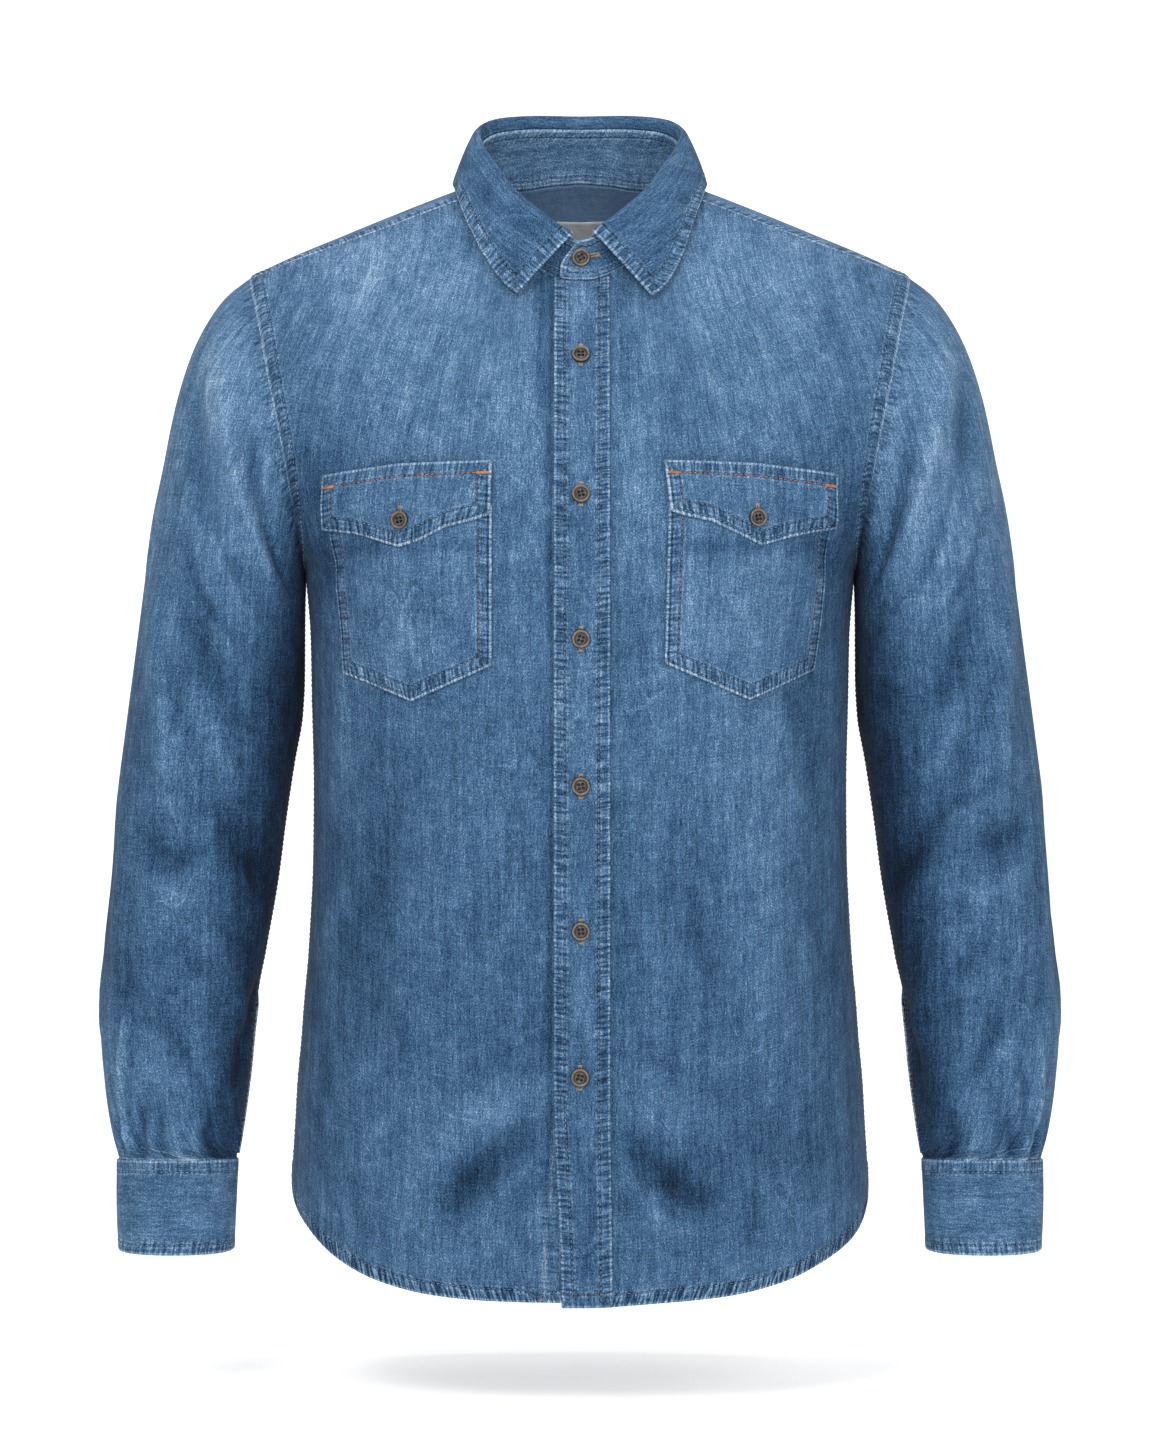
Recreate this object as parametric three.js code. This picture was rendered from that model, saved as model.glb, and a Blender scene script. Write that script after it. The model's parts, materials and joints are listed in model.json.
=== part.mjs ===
import * as THREE from 'three';

// A long-sleeved denim shirt, filled out as if worn, with nobody in it.
// Millimetres, +Z up, the front faces -Y, the wearer's left is +X.
// The origin is at the neck base, level with the tops of the shoulders.

const deg = Math.PI / 180;
const clamp = (v, lo, hi) => Math.min(hi, Math.max(lo, v));
const mix = (a, b, t) => a + (b - a) * t;
const ease = (a, b, v) => { const t = clamp((v - a) / (b - a), 0, 1); return t * t * (3 - 2 * t); };
const vec = (x, y, z) => new THREE.Vector3(x, y, z);

// A table with named columns, read along its first column by a curve that never overshoots.
function table(names, rows) {
  const key = rows.map(r => r[0]);
  const last = rows.length - 1;
  const read = {};
  names.slice(1).forEach((name, c) => {
    const val = rows.map(r => r[c + 1]);
    const step = key.slice(1).map((k, i) => (val[i + 1] - val[i]) / (k - key[i]));
    const slope = val.map((v, i) => {
      if (i === 0) return step[0];
      if (i === last) return step[last - 1];
      if (step[i - 1] * step[i] <= 0) return 0;
      return 2 * step[i - 1] * step[i] / (step[i - 1] + step[i]);
    });
    read[name] = t => {
      if (t <= key[0]) return val[0] + slope[0] * (t - key[0]);
      if (t >= key[last]) return val[last] + slope[last] * (t - key[last]);
      let i = 0;
      while (t > key[i + 1]) i++;
      const h = key[i + 1] - key[i];
      const u = (t - key[i]) / h;
      return (1 + 2 * u) * (1 - u) ** 2 * val[i] + u * (1 - u) ** 2 * h * slope[i]
        + u * u * (3 - 2 * u) * val[i + 1] + u * u * (u - 1) * h * slope[i + 1];
    };
  });
  return read;
}

const sizes = {
  squareness: 2.4,      // power of the body's section: 2 would be an ellipse
  arch: 100,            // height over which the shoulders round off into the front and back
  armpit: -254,
  cloth: 1.2,
  seam: 0.15,           // each side of a seam stands this far back, 0.3 in all
  layer: 1.15,          // air under a patch that lies on a panel
  underFlap: 1.0,
  band: 1.5,
  patch: 1.2,
  flap: 1.5,
  stand: 2.0,
  leaf: 1.7,
  cuff: 2.0,
  button: 12.5,
};

// The body's sections from the hem up to the armpit.
const sideForm = table(['z', 'half'], [
  [-760, 196], [-700, 195], [-660, 194], [-625, 192], [-598, 190.5], [-571, 188], [-544, 186],
  [-517, 183.5], [-490, 181.8], [-450, 180], [-400, 179.5], [-341, 180.8], [-300, 181.6], [-254, 185.3],
]);
const depthForm = table(['z', 'front', 'back'], [
  [-760, 144, 132], [-700, 141, 130], [-620, 138, 126], [-540, 135, 119], [-460, 134, 113], [-380, 134, 114],
  [-300, 133, 121], [-240, 129, 128], [-180, 119, 131], [-140, 106, 129], [-100, 88, 123], [-70, 73, 116],
  [-40, 66, 106], [0, 62, 92], [30, 60, 82],
]);
// The armhole seam: its distance from the middle, and its share of the body's depth.
const armForm = table(['z', 'x', 'share'], [
  [-254, 185.3, 0.62], [-234, 187, 0.62], [-213, 190, 0.63], [-161, 199, 0.64], [-123, 207, 0.69],
  [-93, 213, 0.75], [-61, 221, 0.8], [-40, 226, 0.82], [30, 242, 0.85],
]);
// The shoulder line, by distance from the middle.
const shoulderForm = table(['x', 'z'], [
  [0, 30], [17, 27.5], [40, 19.5], [60, 12], [73, 6.5], [88, 1], [120, -11.5], [160, -27.8], [200, -44.6], [224, -57], [240, -66],
]);

function spanAt(z) {
  if (z <= sizes.armpit) return sideForm.half(z);
  const low = clamp((-z - 150) / (-sizes.armpit - 150), 0, 1);
  const share = armForm.share(z) * Math.sqrt(Math.max(0, 1 - low * low));
  return armForm.x(z) / (1 - share ** sizes.squareness) ** (1 / sizes.squareness);
}

// Soft folds of the body, as lines in front view. Negative heights are troughs.
const foldColumns = ['x0', 'z0', 'x1', 'z1', 'width', 'height'];
const frontFolds = [
  [-20, -612, -96, -682, 11, -4.5], [-26, -590, -120, -668, 13, 3.2], [22, -612, 92, -676, 10, -4],
  [30, -592, 128, -662, 12, 2.6], [100, -688, 128, -678, 8, -1.8], [-60, -380, -92, -560, 20, 2.6],
  [-118, -400, -132, -580, 17, -3], [72, -372, 96, -545, 19, -2.4], [126, -390, 140, -600, 16, 2.6],
  [-146, -300, -164, -420, 12, 2.6], [150, -300, 162, -430, 12, -2.2], [38, -250, 44, -400, 13, -1.4],
  [-172, -262, -120, -205, 9, -2.2], [172, -262, 126, -208, 9, -2.2],
].map(row => Object.fromEntries(row.map((v, i) => [foldColumns[i], v])));
const backFolds = [
  [-46, -140, -62, -420, 17, 3.4], [-20, -150, -30, -330, 13, -2.4], [44, -135, 70, -450, 18, 3.6],
  [18, -160, 24, -300, 12, -2.2], [-110, -330, -60, -560, 19, -3.2], [104, -350, 72, -600, 18, -3],
  [-150, -280, -96, -360, 13, -2.8], [148, -286, 100, -350, 12, 2.8], [-132, -480, -140, -650, 16, 2.8],
  [126, -500, 138, -660, 17, 2.6], [6, -420, -4, -640, 20, 2.2],
].map(row => Object.fromEntries(row.map((v, i) => [foldColumns[i], v])));

function foldHeight(folds, x, z) {
  let sum = 0;
  for (const f of folds) {
    const dx = f.x1 - f.x0;
    const dz = f.z1 - f.z0;
    const long = Math.hypot(dx, dz);
    const along = ((x - f.x0) * dx + (z - f.z0) * dz) / (long * long);
    const off = ((x - f.x0) * dz - (z - f.z0) * dx) / long - 0.06 * long * Math.sin(Math.PI * clamp(along, 0, 1));
    const fade = ease(-0.18, 0.3, along) * (1 - ease(0.6, 1.2, along));
    sum += f.height * fade * Math.exp(-((off / f.width) ** 2));
  }
  return sum;
}

// A point of the body's form at x and z, on the front (side -1) or the back (side 1).
function bodyY(x, z, side) {
  const span = spanAt(z);
  const across = Math.max(0, 1 - Math.min(1, Math.abs(x) / span) ** sizes.squareness) ** (1 / sizes.squareness);
  const c = clamp(1 - (shoulderForm.z(Math.abs(x)) - z) / sizes.arch, 0, 1);
  return side * (side < 0 ? depthForm.front(z) : depthForm.back(z)) * across * Math.sqrt(1 - c * c);
}
function bodyNormal(p) {
  const f = (x, y, z) => {
    const across = Math.max(0, 1 - (Math.abs(x) / spanAt(z)) ** sizes.squareness) ** (2 / sizes.squareness);
    const c = Math.max(0, 1 - (shoulderForm.z(Math.abs(x)) - z) / sizes.arch);
    return (y / (p.y < 0 ? depthForm.front(z) : depthForm.back(z))) ** 2 - across * (1 - c * c);
  };
  const h = 0.05;
  return vec(f(p.x + h, p.y, p.z) - f(p.x - h, p.y, p.z), f(p.x, p.y + h, p.z) - f(p.x, p.y - h, p.z),
    f(p.x, p.y, p.z + h) - f(p.x, p.y, p.z - h)).normalize();
}
// Height of the point that lies at turn w over the shoulder: 0 on the shoulder line,
// 90 where the arch ends and the cloth hangs straight.
const perDegree = sizes.arch * deg;
function heightAt(x, w) {
  const a = Math.abs(w);
  return shoulderForm.z(Math.abs(x)) - sizes.arch * (1 - Math.cos(Math.min(a, 90) * deg)) - Math.max(0, a - 90) * perDegree;
}
function turnAt(x, z) {
  const drop = shoulderForm.z(Math.abs(x)) - z;
  return drop < sizes.arch ? Math.acos(1 - drop / sizes.arch) / deg : 90 + (drop - sizes.arch) / perDegree;
}
function bodyPoint(x, z, side) {
  const p = vec(x, bodyY(x, z, side), z);
  const n = bodyNormal(p);
  const rim = ease(0, 26, spanAt(z) - Math.abs(x)) * ease(4, 40, shoulderForm.z(Math.abs(x)) - z);
  return { p: p.addScaledVector(n, rim * foldHeight(side < 0 ? frontFolds : backFolds, x, z)), n };
}
const turned = (x, w) => bodyPoint(x, heightAt(x, w), w < 0 ? -1 : 1);

// Seam lines on the body.
const neck = {
  half: 72,
  back: 33.8,
  front: -86.6,
  at(turn) {           // turn 0 is the middle of the back, 180 the middle of the front
    const c = Math.cos(turn * deg);
    return { x: this.half * Math.sin(turn * deg), w: c > 0 ? this.back * c : this.front * (-c) ** 1.2 };
  },
};
const neckCorner = 180 - Math.asin(0.93) / deg;
const frontSeam = table(['x', 'w'], [[60, -26.3], [67, -26], [122, -25], [160, -22], [198, -17.5], [222, -13.6]]);
const backSeam = table(['x', 'z'], [[0, -94], [100, -97], [212, -104]]);
const frontHem = table(['turn', 'left', 'right'], [
  [-8, -734.5, -731.5], [0, -734.5, -731.5], [17, -731.5, -730.5], [29, -728.5, -727.8], [42, -721.5, -720.5],
  [56, -709, -706.5], [68, -697, -690], [78, -683, -677], [84, -672, -668], [90, -659, -659],
]);
const backHem = table(['turn', 'z'], [
  [0, -746], [20, -744.5], [34, -739], [46, -729], [58, -713], [70, -694], [79, -678], [84, -669], [90, -659],
]);
function armholeAt(w) {
  let z = heightAt(212, w);
  for (let i = 0; i < 40; i++) z = mix(z, heightAt(armForm.x(z), w), 0.7);
  return { x: armForm.x(z), z };
}
const armpitTurn = turnAt(armForm.x(sizes.armpit), sizes.armpit);
const tipTurn = 13.6;

// Rows and columns of the panels.
const lowRows = 12;
const frontRows = 11;
const backRows = 8;
const yokeRows = 8;
const bandColumns = [-16.4, -4.5, 7.5, 19];
const sideColumns = 12;
const neckColumn = 8;

// One front, worked out on the +X side; under is how far its edge runs below the other front.
function frontPanel(hem, edge, under) {
  const count = bandColumns.length + sideColumns;
  const start = [edge, ...bandColumns.slice(1)];
  const drift = (j, z) => under ? 0 : [5, 3.8, 2.4, 1.4][j] * ease(-590, -728, z);
  const turnStart = z => Math.asin(start[3] / spanAt(z)) / deg;
  const columnX = (j, z) => j < 4 ? start[j] + drift(j, z)
    : spanAt(z) * Math.sin(mix(turnStart(z), 90, (j - 3) / sideColumns) * deg);
  const hemTurn = j => j < 4 ? Math.asin(start[j] / spanAt(-730)) / deg : mix(turnStart(-700), 90, (j - 3) / sideColumns);
  const top = j => {
    const from = 180 - Math.asin(edge / neck.half) / deg;
    if (j < 4) return neck.at(180 - Math.asin(start[j] / neck.half) / deg);
    if (j <= neckColumn) return neck.at(mix(180 - Math.asin(start[3] / neck.half) / deg, neckCorner, (j - 3) / (neckColumn - 3)));
    const x = mix(neck.at(neckCorner).x, armholeAt(-tipTurn).x, (j - neckColumn) / (count - 1 - neckColumn));
    return { x, w: j === count - 1 ? -tipTurn : frontSeam.w(x), from };
  };
  const rows = [];
  for (let i = 0; i <= lowRows; i++) {
    rows.push([...Array(count).keys()].map(j => {
      const z = mix(hem(hemTurn(j)), sizes.armpit, i / lowRows);
      return { x: j === count - 1 ? spanAt(z) : columnX(j, z), z };
    }));
  }
  const base = rows[lowRows];
  const baseEnd = base[count - 1].x;
  for (let i = 1; i <= frontRows; i++) {
    const v = (i / frontRows) ** 1.45;
    const out = armholeAt(-mix(armpitTurn, tipTurn, v));
    const blend = ease(0, 1, i / frontRows);
    rows.push([...Array(count).keys()].map(j => {
      if (j === count - 1) return out;
      const t = top(j);
      const low = (base[j].x - edge) / (baseEnd - edge);
      const high = (t.x - edge) / (top(count - 1).x - edge);
      const x = j < 4 ? start[j] : edge + (out.x - edge) * mix(low, high, blend);
      const w = mix(turnAt(base[j].x, sizes.armpit), Math.abs(t.w), i === frontRows ? 1 : v);
      return { x, z: heightAt(x, w) };
    }));
  }
  return rows.map(row => row.map(({ x, z }) => ({ x, z, under: under * (1 - ease(20, 36, x)) })));
}

// A panel's points: the outer face and the way to its inner face.
function layOut(rows, side, flip, cloth = sizes.cloth) {
  return rows.map(row => row.map(({ x, z, under = 0 }) => {
    const { p, n } = bodyPoint(x * flip, z, side);
    p.addScaledVector(n, -under);
    return { p, n, off: n.clone().multiplyScalar(-cloth) };
  }));
}

// Moves a grid's edge back towards its inside.
function pullBack(grid, edges, by = sizes.seam) {
  const rows = grid.length;
  const cols = grid[0].length;
  const move = [];
  const push = (i, j, k, l) => move.push([grid[i][j], grid[k][l].p.clone().sub(grid[i][j].p).normalize().multiplyScalar(by)]);
  for (let j = 0; j < cols; j++) {
    if (edges.includes('first')) push(0, j, 1, j);
    if (edges.includes('last')) push(rows - 1, j, rows - 2, j);
  }
  for (let i = 0; i < rows; i++) {
    if (edges.includes('low')) push(i, 0, i, 1);
    if (edges.includes('high')) push(i, cols - 1, i, cols - 2);
  }
  const copy = grid.map(row => row.map(c => ({ p: c.p.clone(), n: c.n, off: c.off.clone() })));
  for (const [cell, step] of move) {
    grid.forEach((row, i) => row.forEach((c, j) => { if (c === cell) copy[i][j].p.add(step); }));
  }
  return copy;
}

// Closes a grid of points into a thin wall. A ring's columns run round and meet.
function wallGeometry(grid, ring = false) {
  const rows = grid.length;
  const cols = grid[0].length;
  const pos = [];
  const index = [];
  for (const row of grid) for (const c of row) pos.push(c.p.x, c.p.y, c.p.z);
  for (const row of grid) for (const c of row) pos.push(c.p.x + c.off.x, c.p.y + c.off.y, c.p.z + c.off.z);
  const n = rows * cols;
  const id = (i, j) => i * cols + (ring ? j % cols : j);
  const point = k => vec(pos[3 * k], pos[3 * k + 1], pos[3 * k + 2]);
  const quad = (a, b, c, d) => {
    if (point(a).distanceTo(point(c)) <= point(b).distanceTo(point(d))) index.push(a, b, c, a, c, d);
    else index.push(a, b, d, b, c, d);
  };
  const wide = ring ? cols : cols - 1;
  for (let i = 0; i < rows - 1; i++) {
    for (let j = 0; j < wide; j++) {
      const [a, b, c, d] = [id(i, j), id(i, j + 1), id(i + 1, j + 1), id(i + 1, j)];
      const short = point(a).distanceTo(point(c)) <= point(b).distanceTo(point(d));
      if (short) {
        index.push(a, b, c, a, c, d, a + n, c + n, b + n, a + n, d + n, c + n);
      } else {
        index.push(a, b, d, b, c, d, a + n, d + n, b + n, b + n, d + n, c + n);
      }
    }
  }
  for (let j = 0; j < wide; j++) {
    quad(id(0, j + 1), id(0, j), id(0, j) + n, id(0, j + 1) + n);
    quad(id(rows - 1, j), id(rows - 1, j + 1), id(rows - 1, j + 1) + n, id(rows - 1, j) + n);
  }
  if (!ring) {
    for (let i = 0; i < rows - 1; i++) {
      quad(id(i, 0), id(i + 1, 0), id(i + 1, 0) + n, id(i, 0) + n);
      quad(id(i + 1, cols - 1), id(i, cols - 1), id(i, cols - 1) + n, id(i + 1, cols - 1) + n);
    }
  }
  return outward(pos, index);
}

function outward(pos, index) {
  let volume = 0;
  const at = k => vec(pos[3 * k], pos[3 * k + 1], pos[3 * k + 2]);
  for (let t = 0; t < index.length; t += 3) volume += at(index[t]).dot(at(index[t + 1]).cross(at(index[t + 2])));
  if (volume < 0) for (let t = 0; t < index.length; t += 3) [index[t + 1], index[t + 2]] = [index[t + 2], index[t + 1]];
  const g = new THREE.BufferGeometry();
  g.setAttribute('position', new THREE.Float32BufferAttribute(pos, 3));
  g.setIndex(index);
  g.computeVertexNormals();
  return g;
}

// Normals of a grid from its own points, turned to the side that `away` names.
function gridNormals(points, ring, away) {
  const rows = points.length;
  const cols = points[0].length;
  return points.map((row, i) => row.map((p, j) => {
    const before = ring ? row[(j + cols - 1) % cols] : row[Math.max(0, j - 1)];
    const after = ring ? row[(j + 1) % cols] : row[Math.min(cols - 1, j + 1)];
    const n = after.clone().sub(before).cross(points[Math.min(rows - 1, i + 1)][j].clone().sub(points[Math.max(0, i - 1)][j])).normalize();
    return n.dot(away(p, i, j)) < 0 ? n.negate() : n;
  }));
}

const denim = { hue: 0x4d6f95, rough: 0.92 };
const group = new THREE.Group();
group.name = 'denim_shirt';
function add(name, geometry, colour = denim.hue, rough = denim.rough, metal = 0) {
  const mesh = new THREE.Mesh(geometry, new THREE.MeshStandardMaterial({ color: colour, roughness: rough, metalness: metal }));
  mesh.name = name;
  mesh.material.name = name + '_cloth';
  group.add(mesh);
  return mesh;
}

// Fronts. The left one laps over the right one.
const leftRows = frontPanel(t => frontHem.left(t), -16.4, 0);
const rightRows = frontPanel(t => frontHem.right(t), -17, 1.9);
const leftFront = layOut(leftRows, -1, 1);
const rightFront = layOut(rightRows, -1, -1);

// Back, side seam to side seam, the rows from the hem to the yoke seam.
const halfBack = 12;
const backRowsOut = [];
{
  const cols = [...Array(2 * halfBack + 1).keys()].map(j => (j - halfBack) / halfBack);
  for (let i = 0; i <= lowRows; i++) {
    backRowsOut.push(cols.map(u => {
      const turn = Math.abs(u) * 90;
      const z = mix(backHem.z(turn), sizes.armpit, i / lowRows);
      return { x: Math.sign(u) * spanAt(z) * Math.sin(turn * deg), z };
    }));
  }
  const base = backRowsOut[lowRows];
  const seamEnd = armholeAt(61.3);
  const endTurn = turnAt(seamEnd.x, backSeam.z(seamEnd.x));
  for (let i = 1; i <= backRows; i++) {
    const v = (i / backRows) ** 1.45;
    const out = armholeAt(mix(armpitTurn, endTurn, v));
    const blend = ease(0, 1, i / backRows);
    backRowsOut.push(cols.map((u, j) => {
      const s = Math.sign(u);
      if (Math.abs(u) === 1) return { x: s * out.x, z: out.z };
      const part = mix(Math.abs(base[j].x) / base[2 * halfBack].x, Math.sin(Math.abs(u) * 82 * deg) / Math.sin(82 * deg), blend);
      const x = out.x * part;
      const w = mix(turnAt(Math.abs(base[j].x), sizes.armpit), turnAt(x, backSeam.z(x)), v);
      return { x: s * x, z: heightAt(x, w) };
    }));
  }
}
const backEnd = turnAt(armholeAt(61.3).x, backSeam.z(armholeAt(61.3).x));
const backPanel = layOut(backRowsOut, 1, 1);

// Yoke, armhole to armhole over the back of the neck; its seams match the fronts' columns and the back's.
const shoulderColumns = bandColumns.length + sideColumns - 1 - neckColumn;
const yokeBack = backRowsOut[lowRows + backRows];
const yokeTop = [];
for (let k = 0; k <= shoulderColumns; k++) {
  const row = leftRows[leftRows.length - 1][bandColumns.length + sideColumns - 1 - k];
  yokeTop.push({ x: -row.x, w: -turnAt(row.x, row.z) });
}
for (let k = 1; k < 8; k++) {
  const t = neck.at(mix(neckCorner, 0, (k / 8) ** 0.9));
  yokeTop.push({ x: -t.x, w: t.w });
}
yokeTop.push({ x: 0, w: neck.back });
for (let k = yokeTop.length - 2; k >= 0; k--) yokeTop.push({ x: -yokeTop[k].x, w: yokeTop[k].w });
const yokeHalf = (yokeTop.length - 1) / 2;
const yokePanel = [];
for (let i = 0; i <= yokeRows; i++) {
  yokePanel.push(yokeTop.map((t, j) => {
    const u = j / yokeHalf - 1;                    // -1 to 1 from one armhole to the other
    const part = Math.sin(Math.abs(u) * 82 * deg) / Math.sin(82 * deg);
    const endX = armholeAt(backEnd).x;
    const low = Math.sign(u) * endX * part;
    const v = i / yokeRows;
    if (Math.abs(u) === 1) {
      const out = armholeAt(mix(-tipTurn, backEnd, v));
      const { p, n } = bodyPoint(Math.sign(u) * out.x, out.z, mix(-tipTurn, backEnd, v) < 0 ? -1 : 1);
      return { p, n, off: n.clone().multiplyScalar(-sizes.cloth) };
    }
    const w = mix(t.w, turnAt(Math.abs(low), backSeam.z(Math.abs(low))), v);
    const x = mix(t.x, low, v);
    const { p, n } = turned(x, w);
    return { p, n, off: n.clone().multiplyScalar(-sizes.cloth) };
  }));
}

// Sleeves. The first ring is the armhole itself, read from the three panels round it.
const count = bandColumns.length + sideColumns;
function armholeRing(flip) {
  const front = flip > 0 ? leftFront : rightFront;
  const ring = [];
  for (let i = front.length - 1; i >= lowRows; i--) ring.push({ cell: front[i][count - 1], panel: 'front', i });
  const col = flip > 0 ? 2 * halfBack : 0;
  for (let i = lowRows + 1; i < backPanel.length; i++) ring.push({ cell: backPanel[i][col], panel: 'back', i });
  const yokeCol = flip > 0 ? yokeTop.length - 1 : 0;
  for (let i = yokeRows - 1; i > 0; i--) ring.push({ cell: yokePanel[i][yokeCol], panel: 'yoke', i });
  return ring;
}
const sleeveForm = table(['s', 'outX', 'outZ', 'inX', 'inZ', 'front', 'back', 'midY'], [
  [0, 222, -58.5, 185.3, -254, 72, 83, 0],
  [1, 240, -72, 185.5, -263, 75, 83, 0],
  [2, 258, -99, 185.8, -273, 76, 82, 0],
  [3, 272, -139, 186.1, -287, 76, 80, 1],
  [4, 283, -193, 186.2, -304, 75, 78, 2],
  [5, 292, -247, 186.3, -326, 73, 75, 2],
  [6, 299, -301, 187.6, -352, 70, 72, 1],
  [7, 306, -355, 193, -384, 66, 68, -1],
  [8, 312.5, -408, 198.5, -422, 61, 64, -4],
  [9, 317.5, -460, 203.5, -463, 56, 60, -9],
  [10, 321, -510, 211, -508, 52, 56, -16],
  [11, 321.5, -555, 218, -552, 49, 52, -24],
  [12, 318, -598, 222, -594, 47, 49, -31],
  [13, 312.5, -630, 226, -626, 44, 46, -37],
  [14, 307.5, -647.6, 229.4, -647.6, 36, 36, -40],
]);
const sleeveColumns = ['turn0', 's0', 'turn1', 's1', 'width', 'height'];
const sleeveFolds = [
  [57, 1.5, 124, 3.2, 11, 5], [84, 1.3, 140, 2.7, 9, -3.6], [40, 2.4, 104, 4.3, 12, -3.4],
  [40, 5.2, 84, 7.4, 12, 4.4], [72, 4.9, 112, 6.6, 11, -3.6], [58, 7.0, 104, 8.2, 11, 4.2],
  [54, 8.4, 96, 8.7, 9, -5.2], [90, 7.5, 165, 9.2, 11, -4.4], [66, 9.2, 120, 9.9, 11, 3.4],
  [110, 9.8, 160, 11.2, 11, 3.4], [44, 10.2, 86, 11.3, 12, -3.2], [-60, 2.0, -118, 4.2, 13, 4.2],
  [-96, 4.6, -60, 7.0, 14, -4], [-130, 7.4, -70, 8.4, 12, 4.4], [-120, 8.9, -50, 9.4, 12, -3.6],
  [-60, 10.2, -100, 12.0, 12, 3], [10, 8.4, 30, 10.6, 14, -2.6], [176, 10.4, 150, 12.2, 10, -3],
  [70, 12.2, 64, 14.1, 7, -4.2], [96, 12.7, 100, 14.1, 6, 3], [38, 12.5, 30, 14.1, 6, -3.4],
  [124, 12.6, 134, 14.1, 7, -3.4], [-30, 12.5, -36, 14.1, 7, -3], [-84, 12.4, -78, 14.1, 7, -3.6],
  [-120, 12.8, -126, 14.1, 6, 2.6], [162, 12.8, 170, 14.1, 6, 2.6],
].map(row => Object.fromEntries(row.map((v, i) => [sleeveColumns[i], v])));
function sleeveFoldHeight(turn, s, flip) {
  let sum = 0;
  for (const f of sleeveFolds) {
    const shift = flip > 0 ? 8 * Math.sin(f.s0 * 3.1 + f.turn0) : 0;
    const long = [(f.turn1 - f.turn0) * 1.02, (f.s1 - f.s0) * 42];
    const length = Math.hypot(...long);
    let across = turn - f.turn0 - shift;
    across -= 360 * Math.round(across / 360);
    const a = across * 1.02;
    const b = (s - f.s0 - shift * 0.02) * 42;
    const along = (a * long[0] + b * long[1]) / (length * length);
    const off = (a * long[1] - b * long[0]) / length + 0.07 * length * Math.sin(Math.PI * clamp(along, 0, 1));
    sum += f.height * ease(-0.2, 0.3, along) * (1 - ease(0.65, 1.2, along)) * Math.exp(-((off / f.width) ** 2));
  }
  return sum * ease(0.1, 1.2, s) * (1 - 0.55 * ease(13.6, 14, s));
}
function ringPoint(turn, s, flip) {
  const f = sleeveForm;
  const c = Math.cos(turn * deg);
  const r = Math.sin(turn * deg);
  const k = 2 / 2.2;
  const along = Math.sign(c) * Math.abs(c) ** k;
  const side = Math.sign(r) * Math.abs(r) ** k;
  const x = (f.outX(s) + f.inX(s)) / 2 + along * (f.outX(s) - f.inX(s)) / 2;
  const z = (f.outZ(s) + f.inZ(s)) / 2 + along * (f.outZ(s) - f.inZ(s)) / 2;
  return vec(x * flip, f.midY(s) - side * (side > 0 ? f.front(s) : f.back(s)), z + 1.8 * Math.max(0, side) * ease(12, 14, s));
}
const sleeveRows = [0, 0.4, 1, 1.7, 2.5, 3.3, 4.2, 5.1, 6, 6.9, 7.7, 8.4, 9.1, 10, 10.9, 11.8, 12.5, 13.1, 13.6, 14];
const wrap = a => a - 360 * Math.floor((a + 180) / 360);
function sleeveGrid(flip) {
  const ring = armholeRing(flip);
  const centre = vec(203.65 * flip, 0, -156.25);
  const half = vec(18.35 * flip, 0, 97.75);
  const turns = ring.map(({ cell }) => {
    const d = cell.p.clone().sub(centre);
    const c = d.dot(half) / half.lengthSq();
    const r = -d.y / (d.y < 0 ? 72 : 83);
    return Math.atan2(Math.sign(r) * Math.abs(r) ** 1.1, Math.sign(c) * Math.abs(c) ** 1.1) / deg;
  });
  const drift = ring.map(({ cell }, j) => cell.p.clone().sub(ringPoint(turns[j], 0, flip)));
  const first = turns[0];
  const even = turns.map((t, j) => first + 360 * j / turns.length);
  const ordered = turns.map(t => { let d = t - first; while (d < -1e-6) d += 360; return first + d; });
  const base = sleeveRows.map(s => ordered.map((t, j) => {
    const turn = mix(t, even[j], ease(0.5, 9, s));
    return { turn, p: ringPoint(turn, s, flip).addScaledVector(drift[j], (1 - ease(0, 2.2, s))) };
  }));
  const normals = gridNormals(base.map(row => row.map(c => c.p)), true, (p, i) => {
    const mid = base[i].reduce((m, c) => m.add(c.p), vec(0, 0, 0)).divideScalar(base[i].length);
    return p.clone().sub(mid);
  });
  const grid = base.map((row, i) => row.map((c, j) => {
    const n = normals[i][j];
    const s = sleeveRows[i];
    // The inner side stays clear of the body down to the waist.
    const clear = 1 - 0.9 * ease(0.75, 0.95, -Math.cos(c.turn * deg)) * (1 - ease(6.5, 9, s));
    return { turn: c.turn, p: c.p.clone().addScaledVector(n, clear * sleeveFoldHeight(wrap(c.turn), s, flip)), n, off: n.clone().multiplyScalar(-sizes.cloth) };
  }));
  // At the armhole both sides share the way to their inner face where the cloth bends outward.
  ring.forEach(({ cell, panel, i }, j) => {
    const own = grid[0][j];
    own.p.copy(cell.p);
    const away = grid[1][j].p.clone().sub(cell.p).normalize();
    own.p.addScaledVector(own.n, -0.34 * ease(0, 0.5, away.dot(cell.n)) * ease(0.2, -0.6, own.n.dot(cell.n)));
    if (away.dot(cell.n) < 0) {
      const both = cell.n.clone().add(own.n).normalize();
      const off = both.multiplyScalar(-sizes.cloth / Math.max(0.7, both.dot(own.n)));
      own.off = off.clone();
      cell.off.copy(off);
    }
  });
  return grid;
}
const sleeveLeft = sleeveGrid(1);
const sleeveRight = sleeveGrid(-1);

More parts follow.
